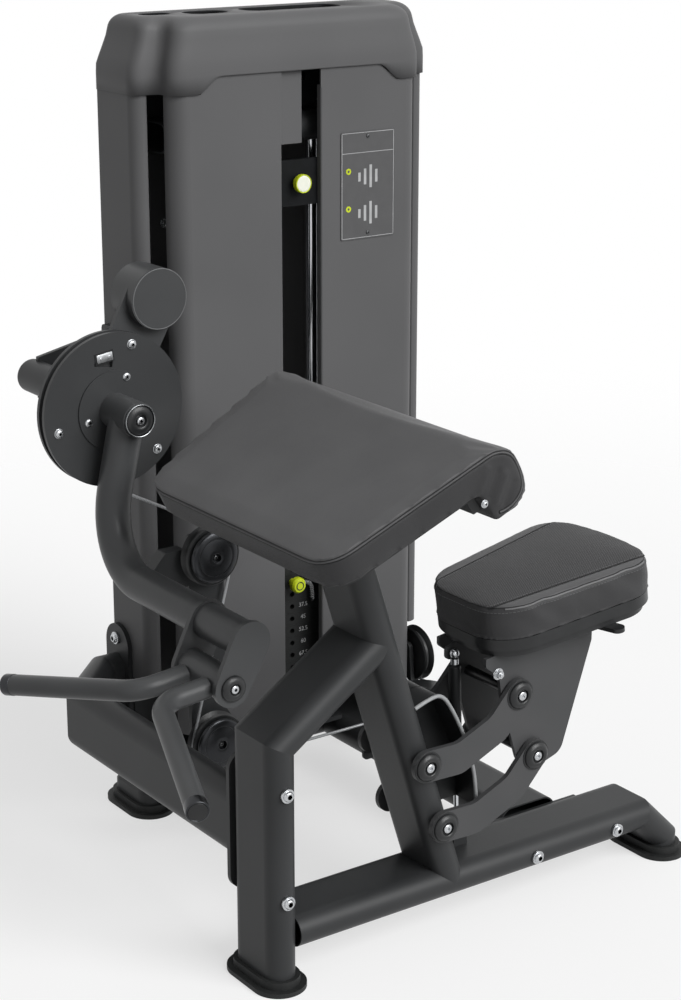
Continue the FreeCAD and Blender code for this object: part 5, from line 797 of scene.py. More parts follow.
class CURL_OT_arm_fittings(bpy.types.Operator):
    """Caps of the arm's pivot and swivel, the cam's bolts and the cable clamp"""

    bl_idname = "curl.arm_fittings"
    bl_label = "Arm fittings"

    def execute(self, context):
        caps, bolts, rims, edge = bmesh.new(), bmesh.new(), bmesh.new(), bmesh.new()
        hub = at(PIVOT[0], HUB_FACE, PIVOT[1])
        capped_bolt(caps, bolts, hub, FRONT, HUB_CAP, HUB_SUNK, HUB_HEAD)
        lathe(rims, rounded(HUB_RIM, 0.6), hub, FRONT, 56)
        for side, axis in ((-1, FRONT), (1, BACK)):
            swivel = at(SWIVEL[0], side * FORK_FACE, SWIVEL[1])
            capped_bolt(caps, bolts, swivel, axis, SWIVEL_CAP, SWIVEL_SUNK, SWIVEL_HEAD)
        for x, z in CAM_BOLTS:
            add_bolt(bolts, at(x, CAM_FACE, z), FRONT, *CAM_HEAD)
        # A thin pale ring on the counterweight drum's front edge: a painted highlight
        lathe(edge, DRUM_HIGHLIGHT_RING, at(*DRUM_FACE), FRONT, 72)
        stand_in("counterweight_painted_highlight", edge, "painted_edge_highlight", "counterweight")
        made = stand_in("arm_cap_set", caps, "dark_shell", "arm_caps")
        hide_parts("arm_caps")
        stand_in("hub_cap_rim", rims, "turned_rim", "arm_caps")
        stand_in("arm_bolts", bolts, "steel", "arm_caps")
        self.clamp()
        return {"FINISHED"}

    def clamp(self):
        """The cable's clamp block on a thin dark sheet that paints the shade of its pocket, with two small
        screws.
        """
        pocket, block = bmesh.new(), bmesh.new()
        lean = Matrix.Rotation(math.radians(-CLAMP_LEAN), 4, "Y")
        for bm, size in ((pocket, CLAMP_POCKET_SHADE), (block, CLAMP_BLOCK)):
            slab(bm, at(CLAMP[0], CAM_FACE - size[1] / 2, CLAMP[1]), Vector(size) * MM, lean)
        bmesh.ops.bevel(block, geom=block.edges[:], offset=CLAMP_EDGE * MM, segments=2, affect="EDGES",
                        profile=0.5, material=-1)
        face = at(CLAMP[0], CAM_FACE - CLAMP_BLOCK[1], CLAMP[1])
        for offset in CLAMP_SCREWS:
            button_head(block, face + lean @ Vector((offset * MM, 0, 0)), FRONT, *CLAMP_SCREW)
        # A thin dark sheet on the cam's face: painted shade of the clamp's pocket
        stand_in("clamp_pocket_painted_shade", pocket, "dark_shell", "arm_caps")
        stand_in("cable_clamp", block, "clamp_metal", "arm_caps")


class CURL_OT_frame_bolts(bpy.types.Operator):
    """Bolts of the front leg, the front rail and the tower flange"""

    bl_idname = "curl.frame_bolts"
    bl_label = "Frame bolts"

    def execute(self, context):
        bm = bmesh.new()
        for place, axis, head in FRAME_BOLTS:
            add_bolt(bm, at(*place), axis, *head)
        made = stand_in("frame_bolt_set", bm, "steel", "frame_bolts")
        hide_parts("frame_bolts")
        return {"FINISHED"}


class CURL_OT_pulley_faces(bpy.types.Operator):
    """Turned covers on the faces of the cable pulleys, with their small axle screws"""

    bl_idname = "curl.pulley_faces"
    bl_label = "Pulley faces"

    def execute(self, context):
        covers, screws, rims = bmesh.new(), bmesh.new(), bmesh.new()
        for name in ("upper_pulley", "lower_pulley"):
            low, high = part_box(name)
            centre = Vector(((low.x + high.x) / 2, low.y - PULLEY_GAP * MM, (low.z + high.z) / 2))
            lathe(covers, self.cover(*PULLEY_COVER), centre, FRONT, 64)
            add_bolt(screws, outward(centre, FRONT, PULLEY_SUNK), FRONT, *PULLEY_HEAD)
            wide, tall = RING_SIZE
            for radius, height in PULLEY_RINGS:
                ring = [(radius, height), (radius + wide, height), (radius + wide, height + tall),
                        (radius, height + tall)]
                lathe(rims, ring + ring[:1], centre, FRONT, 64)
        stand_in("pulley_rims", rims, "black_steel", "pulley_axles")
        stand_in("pulley_cover_set", covers, "turned_black", "pulley_axles")
        stand_in("pulley_screws", screws, "black_steel", "pulley_axles")
        return {"FINISHED"}

    def cover(self, radius, tall):
        """Profile of a pulley's cover: a screw well, a swelling middle, a groove and a sloping rim."""
        profile = [(0, 4.5), (9.5, 4.5), (9.5, tall + 1.8), (11, tall + 2.4)]
        for share in (0.3, 0.6, 0.9):
            profile.append((11 + 25 * share, tall + 2.4 - 2.6 * share ** 1.5))
        profile += [(37.2, tall - 0.6), (37.4, tall - 1.6), (38.4, tall - 1.6), (38.6, tall - 0.6)]
        profile += [(48, tall - 1.4), (radius - 1, tall - 3.4), (radius, tall - 5)]
        return profile + [(radius, 0), (40, 0)]


class CURL_OT_placard(bpy.types.Operator):
    """Blank exercise placard with its frame lines, two rings and screws"""

    bl_idname = "curl.placard"
    bl_label = "Placard"

    def execute(self, context):
        lines, rings, screws = bmesh.new(), bmesh.new(), bmesh.new()
        low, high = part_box("placard")
        margin, thick, print_thick = PLACARD_MARGIN * MM, PLACARD_LINE * MM, PRINT_THICK * MM
        left, right = low.x + margin, high.x - margin
        bottom, top = low.z + margin, high.z - margin
        rule = top - PLACARD_HEADING * MM
        for x0, z0, x1, z1 in ((left, bottom, right, bottom), (left, top, right, top),
                               (left, rule, right, rule), (left, bottom, left, top),
                               (right, bottom, right, top)):
            middle = ((x0 + x1) / 2, low.y - print_thick / 2, (z0 + z1) / 2)
            slab(lines, middle, (x1 - x0 + thick, print_thick, z1 - z0 + thick))
        for z in PLACARD_ROWS:
            for x, tall in PLACARD_BARS:
                slab(lines, at(x, PLACARD_FACE, z), (BAR_WIDE * MM, print_thick, tall * MM))
        for x, z in PLACARD_RINGS:
            lathe(rings, PRINT_RING, at(x, PLACARD_FACE, z), FRONT, 32)
        for x, z in PLACARD_SCREWS:
            add_bolt(screws, at(x, PLACARD_FACE, z), FRONT, *PLACARD_SCREW)
        stand_in("placard_lines", lines, "placard_ink", "placard")
        stand_in("placard_rings", rings, "knob_accent", "placard")
        stand_in("placard_screws", screws, "black_steel", "placard")
        return {"FINISHED"}


class CURL_OT_stack_details(bpy.types.Operator):
    """Weight numbers, the selector pin's ring and the increment knob"""

    bl_idname = "curl.stack_details"
    bl_label = "Stack details"

    def execute(self, context):
        bm = bmesh.new()
        x, rise = NUMBER_PLACE
        for i, number in NUMBERS:
            place = at(x, STACK_FACE - NUMBER_RISE, STACK_LOW + STACK_PITCH * i + rise)
            self.number(bm, number, place)
        stand_in("weight_numbers", bm, "placard_ink", "resting_plates")
        self.knob()
        ring = bmesh.new()
        lathe(ring, rounded(PIN_RING, 0.3), at(*PIN_FACE), FRONT, 40)
        stand_in("selector_pin_ring", ring, "dark_shell", "selector_pin")
        return {"FINISHED"}

    def number(self, bm, text, place):
        """One weight number, raised a little from the plate's front."""
        font = bpy.data.curves.new("number", "FONT")
        font.body = text
        font.size = NUMBER_TALL * MM
        font.align_x = "CENTER"
        font.align_y = "CENTER"
        font.extrude = NUMBER_RISE * MM
        mesh = mesh_of_curve(font)
        mesh.transform(Matrix.Translation(place) @ Matrix.Rotation(math.radians(90), 4, "X"))
        bm.from_mesh(mesh)
        bpy.data.meshes.remove(mesh)

    def knob(self):
        """The increment knob: a lime collar round an ivory disc."""
        low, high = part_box("increment_knob")
        centre = Vector(((low.x + high.x) / 2, high.y, (low.z + high.z) / 2))
        collar, disc = bmesh.new(), bmesh.new()
        tall = (high.y - low.y) / MM
        outer = [(0, 0), (12, 0), (12, tall * 0.42), (18.5, tall * 0.5), (18.5, tall - 1), (18.1, tall),
                 (16.6, tall), (16.2, tall - 1.2), (0, tall - 1.2)]
        inner = [(16, tall - 1.1), (16, tall - 0.3), (13, tall + 0.2), (0, tall + 0.4)]
        lathe(collar, rounded(outer, 0.8), centre, FRONT, 48)
        lathe(disc, rounded(inner, 0.8), centre, FRONT, 48)
        made = stand_in("increment_knob_collar", collar, "knob_accent", "increment_knob")
        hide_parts("increment_knob")
        stand_in("increment_knob_disc", disc, "knob_disc", "increment_knob")


# Padding

def spaced(line, step, closed=False):
    """A line's points, evenly spaced."""
    points = [Vector(p) for p in line]
    if closed:
        points.append(points[0])
    total = sum((b - a).length for a, b in zip(points, points[1:]))
    count = max(2, round(total / step))
    out, done, j = [], 0.0, 0
    for i in range(count if closed else count + 1):
        here = total * i / count
        while j < len(points) - 2 and done + (points[j + 1] - points[j]).length < here:
            done += (points[j + 1] - points[j]).length
            j += 1
        span = (points[j + 1] - points[j]).length
        out.append(points[j].lerp(points[j + 1], min(1.0, (here - done) / span)))
    return out


def rounded_loop(corners, steps=10):
    """A closed outline with a round of its own reach at each corner."""
    out = []
    count = len(corners)
    for i, (x, y, reach) in enumerate(corners):
        corner = Vector((x, y))
        before, after = Vector(corners[i - 1][:2]), Vector(corners[(i + 1) % count][:2])
        first = corner + (before - corner).normalized() * min(reach, (before - corner).length * 0.49)
        last = corner + (after - corner).normalized() * min(reach, (after - corner).length * 0.49)
        for k in range(steps + 1):
            t = k / steps
            out.append(first.lerp(corner, t).lerp(corner.lerp(last, t), t))
    return out


def baked(thing):
    """Applies an object's modifiers to its mesh."""
    graph = bpy.context.evaluated_depsgraph_get()
    mesh = bpy.data.meshes.new_from_object(thing.evaluated_get(graph))
    thing.modifiers.clear()
    old = thing.data
    thing.data = mesh
    bpy.data.meshes.remove(old)
    return mesh


def near_tree(points):
    """A search tree of points."""
    tree = KDTree(len(points))
    for i, point in enumerate(points):
        tree.insert(point, i)
    tree.balance()
    return tree


def stuffed(node_name, place, seams, under, voxel, pull_in, swell, frames):
    """A padded skin in the pad's own frame: the plain pad remeshed, pulled in, puffed out as cloth
    that its seams and its underside hold, and subdivided once."""
    bm = merged_copy(node_name)
    bmesh.ops.transform(bm, matrix=place.inverted(), verts=bm.verts)
    mesh = bpy.data.meshes.new(node_name + "_skin")
    bm.to_mesh(mesh)
    bm.free()
    skin = bpy.data.objects.new(node_name + "_skin", mesh)
    bpy.context.scene.collection.objects.link(skin)
    remesh = skin.modifiers.new("remesh", "REMESH")
    remesh.mode = "VOXEL"
    remesh.voxel_size = voxel
    mesh = baked(skin)
    low = [v.index for v in mesh.vertices if v.co.z < under and v.normal.z < -0.6]
    held = set(low)
    tree = near_tree([point for seam in seams for point in seam])
    for v in mesh.vertices:
        if v.index not in held:
            v.co = v.co - v.normal * pull_in
    for v in mesh.vertices:
        if tree.find(v.co)[2] < voxel * 0.8 + pull_in:
            held.add(v.index)
    group = skin.vertex_groups.new(name="held")
    group.add(sorted(held), 1.0, "REPLACE")
    start = [v.co.copy() for v in mesh.vertices]
    cloth = skin.modifiers.new("cloth", "CLOTH")
    cloth.settings.quality = 4
    cloth.settings.use_pressure = True
    cloth.settings.uniform_pressure_force = 4
    cloth.settings.vertex_group_mass = "held"
    cloth.settings.effector_weights.gravity = 0
    cloth.collision_settings.use_collision = False
    for number in range(1, frames + 1):
        bpy.context.scene.frame_set(number)
    mesh = baked(skin)
    bpy.context.scene.frame_set(1)
    for v, first in zip(mesh.vertices, start):
        move = v.co - first
        if move.length > swell:
            v.co = first + move.normalized() * swell
    smoother = skin.modifiers.new("finer", "SUBSURF")
    smoother.levels = smoother.render_levels = 1
    mesh = baked(skin)
    bpy.data.objects.remove(skin)
    return mesh


def pressed(mesh, line, wide, deep):
    """Presses a seam's valley, by its width and depth in millimetres, into a padded skin."""
    wide, deep = wide * MM, deep * MM
    tree = near_tree(line)
    normals = [v.normal.copy() for v in mesh.vertices]
    for v, normal in zip(mesh.vertices, normals):
        away = tree.find(v.co)[2]
        if away < wide:
            v.co = v.co - normal * deep * (1 - (away / wide) ** 2) ** 2


def laid_on(mesh, line, lift, aside=0):
    """A line moved onto a skin, with a lift off it and a step aside along it."""
    bm = bmesh.new()
    bm.from_mesh(mesh)
    tree = BVHTree.FromBMesh(bm)
    bm.free()
    spots = [tree.find_nearest(point)[:2] for point in line]
    out = []
    for i, (spot, normal) in enumerate(spots):
        if aside:
            ahead = spots[min(i + 1, len(spots) - 1)][0] - spots[max(i - 1, 0)][0]
            spot, normal = tree.find_nearest(spot + ahead.cross(normal).normalized() * aside)[:2]
        out.append(spot + normal * lift)
    for _ in range(4):
        out = [out[0]] + [(a + b * 2 + c) / 4 for a, b, c in zip(out, out[1:], out[2:])] + [out[-1]]
    return out


def add_tube(bm, points, radius):
    """Adds a tube along a line of points."""
    mesh = swept("tube", points, radius)
    bm.from_mesh(mesh)
    bpy.data.meshes.remove(mesh)


def add_stitches(bm, line, place):
    """Adds a row of separate stitches along a line on a skin."""
    points = spaced(line, MM)
    run, every = round(STITCH_LONG), round(STITCH_LONG + STITCH_GAP)
    for i in range(0, len(points) - run, every):
        add_tube(bm, [place @ points[j] for j in (i, i + run // 2, i + run)], STITCH_RADIUS * MM)


def padded_piece(name, mesh, place, materials, choose, node_name):
    """Sets a finished skin in the frame, with a material for each face by a rule."""
    mesh.materials.clear()
    for material in materials:
        mesh.materials.append(finish_of(material))
    for face in mesh.polygons:
        face.material_index = choose(face.center)
        face.use_smooth = True
    mesh.transform(place)
    made = bpy.data.objects.new(name, mesh)
    bpy.context.scene.collection.objects.link(made)
    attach(made, BODY_OF[node_name])
    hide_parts(node_name)
    return made


def piping(name, line, place, radius, node_name, material="pad_piping", closed=False):
    """A thin tube along a line on a skin: sewn piping and bead, and the near-black lines of painted shade in
    the seams' valleys.
    """
    mesh = swept(name, [place @ p for p in line], radius, closed)
    return finish_piece(name, mesh, material, BODY_OF[node_name], 180)


class CURL_OT_arm_pad(bpy.types.Operator):
    """Padded arm rest: flat top that wraps over a roll, piped seam, pebbled side band"""

    bl_idname = "curl.arm_pad"
    bl_label = "Arm pad"

    def execute(self, context):
        settings = context.scene.curl_machine
        seams = [self.edge_line(side) for side in (-1, 1)]
        line = spaced(list(reversed(seams[0])) + self.low_edge() + seams[1], SEAM_STEP * MM)
        mesh = stuffed("arm_pad", PAD_PLACE, [line], PAD_UNDER * MM, PAD_VOXEL * MM, PAD_PULL * MM,
                       settings.pad_swell, settings.cloth_frames)
        self.wrinkle(mesh)
        seam = laid_on(mesh, line, 0)
        pressed(mesh, seam, *PAD_VALLEY)
        cord = laid_on(mesh, spaced(seam, SEAM_STEP * MM), settings.piping * 0.35)
        piping("arm_pad_piping", cord, PAD_PLACE, settings.piping, "arm_pad")
        # Two near-black lines either side of the piping: painted shade in the seam's valley
        for name, aside in (("upper", SHADE_LINE_ASIDE), ("lower", -SHADE_LINE_ASIDE)):
            painted_seam_shade = laid_on(mesh, seam, SHADE_LINE_LIFT * MM, aside * MM)
            piping("arm_pad_painted_shade_" + name, painted_seam_shade, PAD_PLACE, 0.9 * MM, "arm_pad", "painted_seam_shade")
        padded_piece("arm_pad_skin", mesh, PAD_PLACE, ("pad_skin", "pad_band"),
                     lambda centre: int(self.depth(centre) > PAD_SEAM * MM), "arm_pad")
        bolts = bmesh.new()
        x, y, z = PAD_BOLT
        for side, axis in ((-1, FRONT), (1, BACK)):
            add_bolt(bolts, at(x, side * y, z), axis, *PAD_HEAD)
        stand_in("pad_end_bolts", bolts, "steel", "arm_pad")
        return {"FINISHED"}

    def half(self, x):
        """Half the pad's width at a place along it."""
        share = x / (PAD_LONG + PAD_ROLL)
        return PAD_LOW_HALF + (PAD_HIGH_HALF - PAD_LOW_HALF) * share

    def edge_line(self, side):
        """The seam along one side, from the low corner to under the roll."""
        points = []
        for i in range(8):
            x = PAD_START + (PAD_LONG - PAD_START) * i / 8
            points.append((x, side * self.half(x), -PAD_SEAM))
        reach = PAD_ROLL - PAD_SEAM
        for i in range(33):
            angle = math.radians(90 - ROLL_STEP * i)
            x = PAD_LONG + reach * math.cos(angle)
            points.append((x, side * self.half(x), -PAD_ROLL + reach * math.sin(angle)))
        return [Vector(p) * MM for p in points]

    def low_edge(self):
        """The seam round the pad's low edge: the two low corners of a loop."""
        start = self.half(PAD_START)
        corners = [(PAD_START, -start, 1), (0, -PAD_LOW_HALF, PAD_CORNER), (0, PAD_LOW_HALF, PAD_CORNER),
                   (PAD_START, start, 1)]
        steps = 10
        loop = rounded_loop(corners, steps)
        return [Vector((p.x, p.y, -PAD_SEAM)) * MM for p in loop[steps + 1:3 * (steps + 1)]]

    def depth(self, point):
        """How far a place lies under the pad's top sheet, on the flat and round the roll."""
        x, z = point.x / MM, point.z / MM
        if x < PAD_LONG:
            return -point.z
        return (PAD_ROLL - math.hypot(x - PAD_LONG, z + PAD_ROLL)) * MM

    def wrinkle(self, mesh):
        """Gathers the band at the ends of the roll into a few slanting folds."""
        normals = [v.normal.copy() for v in mesh.vertices]
        for v, normal in zip(mesh.vertices, normals):
            if abs(normal.y) < 0.6 or v.co.x < (PAD_LONG - PAD_ROLL) * MM:
                continue
            x, z = v.co.x / MM - PAD_LONG, v.co.z / MM + PAD_ROLL
            rise = 0.0
            for (ax, az), (bx, bz), wide, tall in ROLL_FOLDS:
                a, b, p = Vector((ax, az)), Vector((bx, bz)), Vector((x, z))
                t = max(0.0, min(1.0, (p - a).dot(b - a) / (b - a).length_squared))
                away = (p - a.lerp(b, t)).length
                rise += tall * math.exp(-(away / wide) ** 2)
            v.co = v.co + normal * rise * MM


class CURL_OT_seat(bpy.types.Operator):
    """Seat cushion: ribbed middle between two stitched seams, piped edge and a soft band"""

    bl_idname = "curl.seat"
    bl_label = "Seat cushion"

    def execute(self, context):
        settings = context.scene.curl_machine
        edge = [Vector((p.x, p.y, SEAT_TOP - SEAT_SEAM)) * MM for p in rounded_loop(SEAT_PLAN)]
        edge = spaced(edge, SEAM_STEP * MM, closed=True)
        rows = [self.lengthwise(side) for side in (-1, 1)]
        mesh = stuffed("seat_cushion", SEAT_PLACE, [edge] + rows, SEAT_UNDER * MM, SEAT_VOXEL * MM,
                       SEAT_PULL * MM, settings.seat_swell, settings.cloth_frames)
        self.gather(mesh)
        edge = laid_on(mesh, edge, 0)
        rows = [laid_on(mesh, row, 0) for row in rows]
        pressed(mesh, edge, *SEAT_VALLEY)
        for row in rows:
            pressed(mesh, row, *ROW_VALLEY)
        cord = laid_on(mesh, edge, settings.piping * 0.3)
        threads = bmesh.new()
        lift = STITCH_LIFT * MM
        beside = [laid_on(mesh, self.lengthwise(side, -STITCH_ASIDE), lift) for side in (-1, 1)]
        below = laid_on(mesh, [p - Vector((0, 0, STITCH_DROP * MM)) for p in edge], lift)
        for row in beside + [below]:
            add_stitches(threads, row, SEAT_PLACE)
        # Near-black lines round the edge and along the rib seams: painted shade in their valleys
        edge_shade_line = laid_on(mesh, edge, SHADE_LINE_LIFT * MM, -2.9 * MM)
        for i, line in enumerate([edge_shade_line] + rows):
            piping("seat_painted_shade_%d" % i, line, SEAT_PLACE, 0.8 * MM, "seat_cushion", "painted_seam_shade", i == 0)
        padded_piece("seat_cushion_skin", mesh, SEAT_PLACE, ("pad_skin", "seat_band", "seat_top"),
                     self.panel, "seat_cushion")
        low, high, out = (size * MM for size in SEAT_BEAD)
        for side, name in ((-1, "near"), (1, "far")):
            bead = sorted((p for p in cord if p.y * side > out and low < p.x < high), key=lambda p: p.x)
            piping("seat_bead_" + name, bead, SEAT_PLACE, settings.piping, "seat_cushion", "seat_bead")
        piece("seat_stitches", threads, "thread", BODY_OF["seat_cushion"], 180)
        return {"FINISHED"}

    def seam_half(self, x):
        """Half the width of the ribbed middle at a place along the seat, in millimetres."""
        return SEAT_RIB_LOW + (SEAT_RIB_HIGH - SEAT_RIB_LOW) * x / SEAT_LONG

    def lengthwise(self, side, aside=0):
        """A seam from the narrow end to the broad end."""
        points = []
        for i in range(100):
            x = -2 + (SEAT_LONG + 2) * i / 99
            points.append(Vector((x, side * (self.seam_half(x) + aside), SEAT_TOP)) * MM)
        return points

    def panel(self, centre):
        """0 for the plain side panels, 1 for the band, 2 for the ribbed middle."""
        if centre.z < (SEAT_TOP - SEAT_SEAM) * MM:
            return 1
        return 2 if abs(centre.y) < self.seam_half(centre.x / MM) * MM else 0

    def gather(self, mesh):
        """Slack in the band: soft slanting folds that fade towards its seams."""
        normals = [v.normal.copy() for v in mesh.vertices]
        for v, normal in zip(mesh.vertices, normals):
            if normal.z > 0.6 or normal.z < -0.6:
                continue
            share = (v.co.z / MM - SEAT_TRAY) / (SEAT_TOP - SEAT_TRAY)
            fade = max(0.0, 4 * share * (1 - share))
            spot = Vector((v.co.x * 22 + v.co.z * 14, v.co.y * 22, v.co.z * 9))
            v.co = v.co + normal * noise.noise(spot) * 3.2 * MM * fade


class CURL_OT_grip_ends(bpy.types.Operator):
    """Turned end band and black plug of each hand grip"""

    bl_idname = "curl.grip_ends"
    bl_label = "Grip ends"

    def execute(self, context):
        bands, plugs = bmesh.new(), bmesh.new()
        long = GRIP_LONG - GRIP_BAND
        band = [(0, 0), (GRIP_RADIUS, 0), (GRIP_RADIUS, long - 1), (18.4, long), (17, long),
                (16.4, long - 0.8), (0, long - 0.8)]
        plug = [(0, long - 1), (16.2, long - 1), (15.8, long - 0.2), (0, long + 0.3)]
        for side in (-1, 1):
            start, axis = self.grip(side)
            lathe(bands, rounded(band, 0.8), start, axis, 48)
            lathe(plugs, rounded(plug, 0.6), start, axis, 48)
        made = stand_in("grip_end_set", bands, "turned_black", "grip_ends")
        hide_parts("grip_ends")
        stand_in("grip_plugs", plugs, "gloss_black", "grip_ends")
        return {"FINISHED"}

    def grip(self, side):
        """Where the band of one grip starts, and the way to the grip's end."""
        turned = tilted(at(SWIVEL[0], 0, SWIVEL[1]), HANDLE_DIP) @ Matrix.Diagonal((1, side, 1, 1))
        turned = turned @ Matrix.Translation((0, HANDLE_STEM_HALF * MM, 0))
        turned = turned @ Matrix.Rotation(math.radians(-HANDLE_FALL), 4, "X")
        turned = turned @ Matrix.Translation((-HANDLE_STEM * MM, 0, 0))
        turned = turned @ Matrix.Rotation(math.radians(HANDLE_SPLAY), 4, "Z")
        start, end = turned @ Vector((0, GRIP_BAND * MM, 0)), turned @ Vector((0, GRIP_LONG * MM, 0))
        return start, (end - start).normalized()


class CURL_OT_seat_fittings(bpy.types.Operator):
    """Bent guard behind the column, the gas spring's ball joint and the carrier's bolt"""

    bl_idname = "curl.seat_fittings"
    bl_label = "Seat fittings"

    def execute(self, context):
        self.guard()
        joint, bolt = bmesh.new(), bmesh.new()
        top = at(*SPRING_TOP)
        turns = [math.radians(a) for a in range(-42, 91, 12)]
        ball = [(BALL_RADIUS * math.cos(a), BALL_RISE + BALL_RADIUS * math.sin(a)) for a in turns]
        profile = [*BALL_NECK, *ball, (0, BALL_RISE + BALL_RADIUS)]
        lathe(joint, profile, top, (top - at(*SPRING_FOOT)).normalized(), 32)
        stand_in("spring_ball_joint", joint, "steel", "spring_barrel")
        place = at(*CARRIER_BOLT)
        for rise, radius, tall in CARRIER_WASHERS:
            washer(bolt, outward(place, FRONT, rise), FRONT, radius, tall, 4)
        nut = Matrix.Translation(outward(place, FRONT, NUT_RISE)) @ turn(FRONT, 12)
        bmesh.ops.create_cone(bolt, cap_ends=True, segments=6, radius1=NUT_RADIUS * MM,
                              radius2=NUT_RADIUS * MM, depth=NUT_TALL * MM, matrix=nut)
        lathe(bolt, rounded(CARRIER_STUD, 0.6), place, FRONT, 20)
        stand_in("carrier_bolt", bolt, "steel", "seat_carrier")
        return {"FINISHED"}

    def guard(self):
        """A strip bent over a web, with a pale edge along each side."""
        strip, web, trims = bmesh.new(), bmesh.new(), bmesh.new()
        path = spaced(smooth_line([at(x, 0, z) for x, z in GUARD_PATH]), 6 * MM)
        half, web_half = Vector((0, GUARD_HALF * MM, 0)), Vector((0, GUARD_WEB / 2 * MM, 0))
        near = [strip.verts.new(p - half) for p in path]
        edges = [strip.edges.new(pair) for pair in zip(near, near[1:])]
        self.widen(strip, bmesh.ops.extrude_edge_only(strip, edges=edges)["geom"], half * 2)
        bmesh.ops.solidify(strip, geom=strip.faces[:], thickness=GUARD_THICK * MM)
        foot, top = at(WEB_FOOT[0], 0, WEB_FOOT[1]), at(WEB_TOP, 0, path[-1].z / MM)
        face = web.faces.new([web.verts.new(p - web_half) for p in [foot] + path + [top]])
        self.widen(web, bmesh.ops.extrude_face_region(web, geom=[face])["geom"], web_half * 2)
        made = stand_in("seat_guard_strip", strip, "guard_black", "seat_guard")
        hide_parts("seat_guard")
        stand_in("seat_guard_web", web, "guard_black", "seat_guard")
        for sign in (-1, 1):
            add_tube(trims, [p + half * sign for p in path], GUARD_TRIM * MM)
        stand_in("seat_guard_trim", trims, "edge_trim", "seat_guard", angle=180)

    def widen(self, bm, made, step):
        """Moves the points that an extrusion made, and turns the faces outward."""
        bmesh.ops.translate(bm, verts=[v for v in made if isinstance(v, bmesh.types.BMVert)], vec=step)
        bmesh.ops.recalc_face_normals(bm, faces=bm.faces)


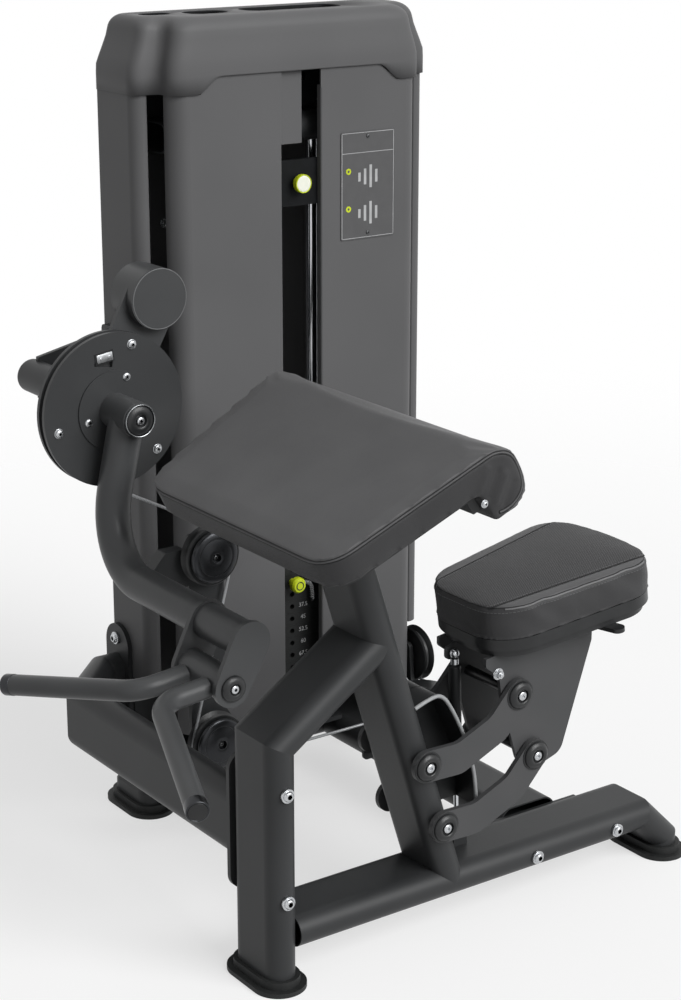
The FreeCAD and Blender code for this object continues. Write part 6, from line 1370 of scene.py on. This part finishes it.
class CURL_OT_top_cap(bpy.types.Operator):
    """Moulded cap of the tower: soft leaning shoulders, an arch in its lower edge and three open trays"""

    bl_idname = "curl.top_cap"
    bl_label = "Top cap"

    def execute(self, context):
        bm, walls = bmesh.new(), bmesh.new()
        levels = list(CAP_LEVELS)
        for angle in range(10, 91, 10):
            a = math.radians(angle)
            round_in = 1 - math.cos(a)
            height = CAP_TOP - CAP_ROUND + CAP_ROUND * math.sin(a)
            levels.append((7 + 30 * round_in, 24 + 22 * round_in, height))
        rings = [self.ring(*level) for level in levels]
        rings[0] = [Vector((p.x, p.y, self.edge_height(p))) for p in rings[0]]
        loops = loft(bm, rings, close_first=False, close_last=False)
        rim = set(loops[-1][0])
        edges = [e for e in bm.edges if e.verts[0] in rim and e.verts[1] in rim]
        for tray in CAP_TRAYS:
            outline, centre = self.tray(*tray)
            hole = [bm.verts.new(p) for p in outline]
            edges += [bm.edges.new((a, b)) for a, b in zip(hole, hole[1:] + hole[:1])]
            lip = Vector((0, 0, TRAY_LIP * MM))
            inner = [p + (centre - p).normalized() * TRAY_DRAFT * MM - lip for p in outline]
            foot = [Vector((p.x, p.y, (CAP_TOP - TRAY_DEEP) * MM)) for p in inner]
            loft(walls, [outline, inner, foot], close_first=False)
        bmesh.ops.triangle_fill(bm, edges=edges, use_beauty=True, normal=(0, 0, 1))
        bmesh.ops.recalc_face_normals(bm, faces=bm.faces)
        bm.normal_update()
        highest = max(bm.faces, key=lambda face: face.calc_center_median().z)
        if highest.normal.z < 0:
            bmesh.ops.reverse_faces(bm, faces=bm.faces)
        made = stand_in("top_cap_skin", bm, "cover_shell", "top_cap", angle=40)
        thick = made.modifiers.new("wall", "SOLIDIFY")
        thick.thickness = CAP_WALL * MM
        thick.offset = -1
        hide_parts("top_cap")
        # The trays' walls and floors are near black: painted shade inside the trays
        for face in walls.faces:
            face.normal_flip()
        stand_in("top_cap_trays_painted_shade", walls, "carriage_black_and_tray_shade", "top_cap", angle=30)
        return {"FINISHED"}

    def ring(self, inset, side_inset, height):
        """The cap's plan at one height, drawn in at its front and at its sides."""
        soft, step = 0.4 * inset, CAP_STEP + inset
        front_half, side_half = CAP_FRONT_HALF - (inset + side_inset) / 2, CAP_HALF - side_inset
        half = [(front_half, CAP_FRONT + inset, 44 + soft), (front_half, step, 20 + soft),
                (side_half, step, 28 + soft), (side_half, CAP_BACK - inset * 0.6, 16 + soft)]
        corners = [(-x, y, r) for x, y, r in reversed(half)] + half
        line = rounded_loop([(TOWER_AXIS + x, y, r) for x, y, r in corners], 8)
        gaps = [(line[i] - line[i - 1]).length if line[i].y < step else 0 for i in range(len(line))]
        longest = gaps.index(max(gaps))
        first, last = line[longest - 1], line[longest]
        middle = [first.lerp(last, share / 60) for share in range(1, 60)]
        return [at(p.x, p.y, height) for p in line[:longest] + middle + line[longest:]]

    def edge_height(self, point):
        """Height of the cap's lower edge: low at the sides, raised in an arch over the covers."""
        away = point - at(TOWER_AXIS, CAP_FRONT + 4, 0)
        if away.y > 0:
            return CAP_SKIRT * MM
        share = min(1.0, max(0.0, (CAP_SLANT - abs(away.x) / MM) / (CAP_SLANT - CAP_ARCH)))
        return (CAP_SKIRT + (CAP_SEAM - CAP_SKIRT) * share * share * (3 - 2 * share)) * MM

    def tray(self, middle, across, half, deep):
        """The outline of an open tray in the cap's top, and its centre."""
        x, y = TOWER_AXIS + middle, across
        corners = [(x - half, y - deep), (x + half, y - deep), (x + half, y + deep), (x - half, y + deep)]
        loop = rounded_loop([(*corner, deep * 0.98) for corner in corners], 8)
        return [at(p.x, p.y, CAP_TOP) for p in loop], at(x, y, CAP_TOP)


OPERATORS = (CURL_OT_stage, CURL_OT_lanyard, CURL_OT_finishes, CURL_OT_link_pins, CURL_OT_arm_fittings,
             CURL_OT_frame_bolts, CURL_OT_pulley_faces, CURL_OT_placard, CURL_OT_stack_details,
             CURL_OT_grip_ends, CURL_OT_seat_fittings, CURL_OT_top_cap, CURL_OT_arm_pad, CURL_OT_seat)


class CURL_PT_panel(bpy.types.Panel):
    """The machine's operators in the sidebar"""

    bl_label = "Curl machine"
    bl_idname = "CURL_PT_panel"
    bl_space_type = "VIEW_3D"
    bl_region_type = "UI"
    bl_category = "Curl machine"

    def draw(self, context):
        for operator in OPERATORS:
            self.layout.operator(operator.bl_idname)


def register():
    bpy.utils.register_class(MachineSettings)
    for item in OPERATORS + (CURL_PT_panel,):
        bpy.utils.register_class(item)
    bpy.types.Scene.curl_machine = PointerProperty(type=MachineSettings)


def unregister():
    del bpy.types.Scene.curl_machine
    for item in (CURL_PT_panel,) + OPERATORS[::-1]:
        bpy.utils.unregister_class(item)
    bpy.utils.unregister_class(MachineSettings)


def main():
    register()
    bpy.ops.curl.stage()
    bpy.ops.curl.lanyard()
    bpy.ops.curl.finishes()
    bpy.ops.curl.link_pins()
    bpy.ops.curl.arm_fittings()
    bpy.ops.curl.frame_bolts()
    bpy.ops.curl.pulley_faces()
    bpy.ops.curl.placard()
    bpy.ops.curl.stack_details()
    bpy.ops.curl.grip_ends()
    bpy.ops.curl.seat_fittings()
    bpy.ops.curl.top_cap()
    bpy.ops.curl.arm_pad()
    bpy.ops.curl.seat()


if __name__ == "__main__":
    main()
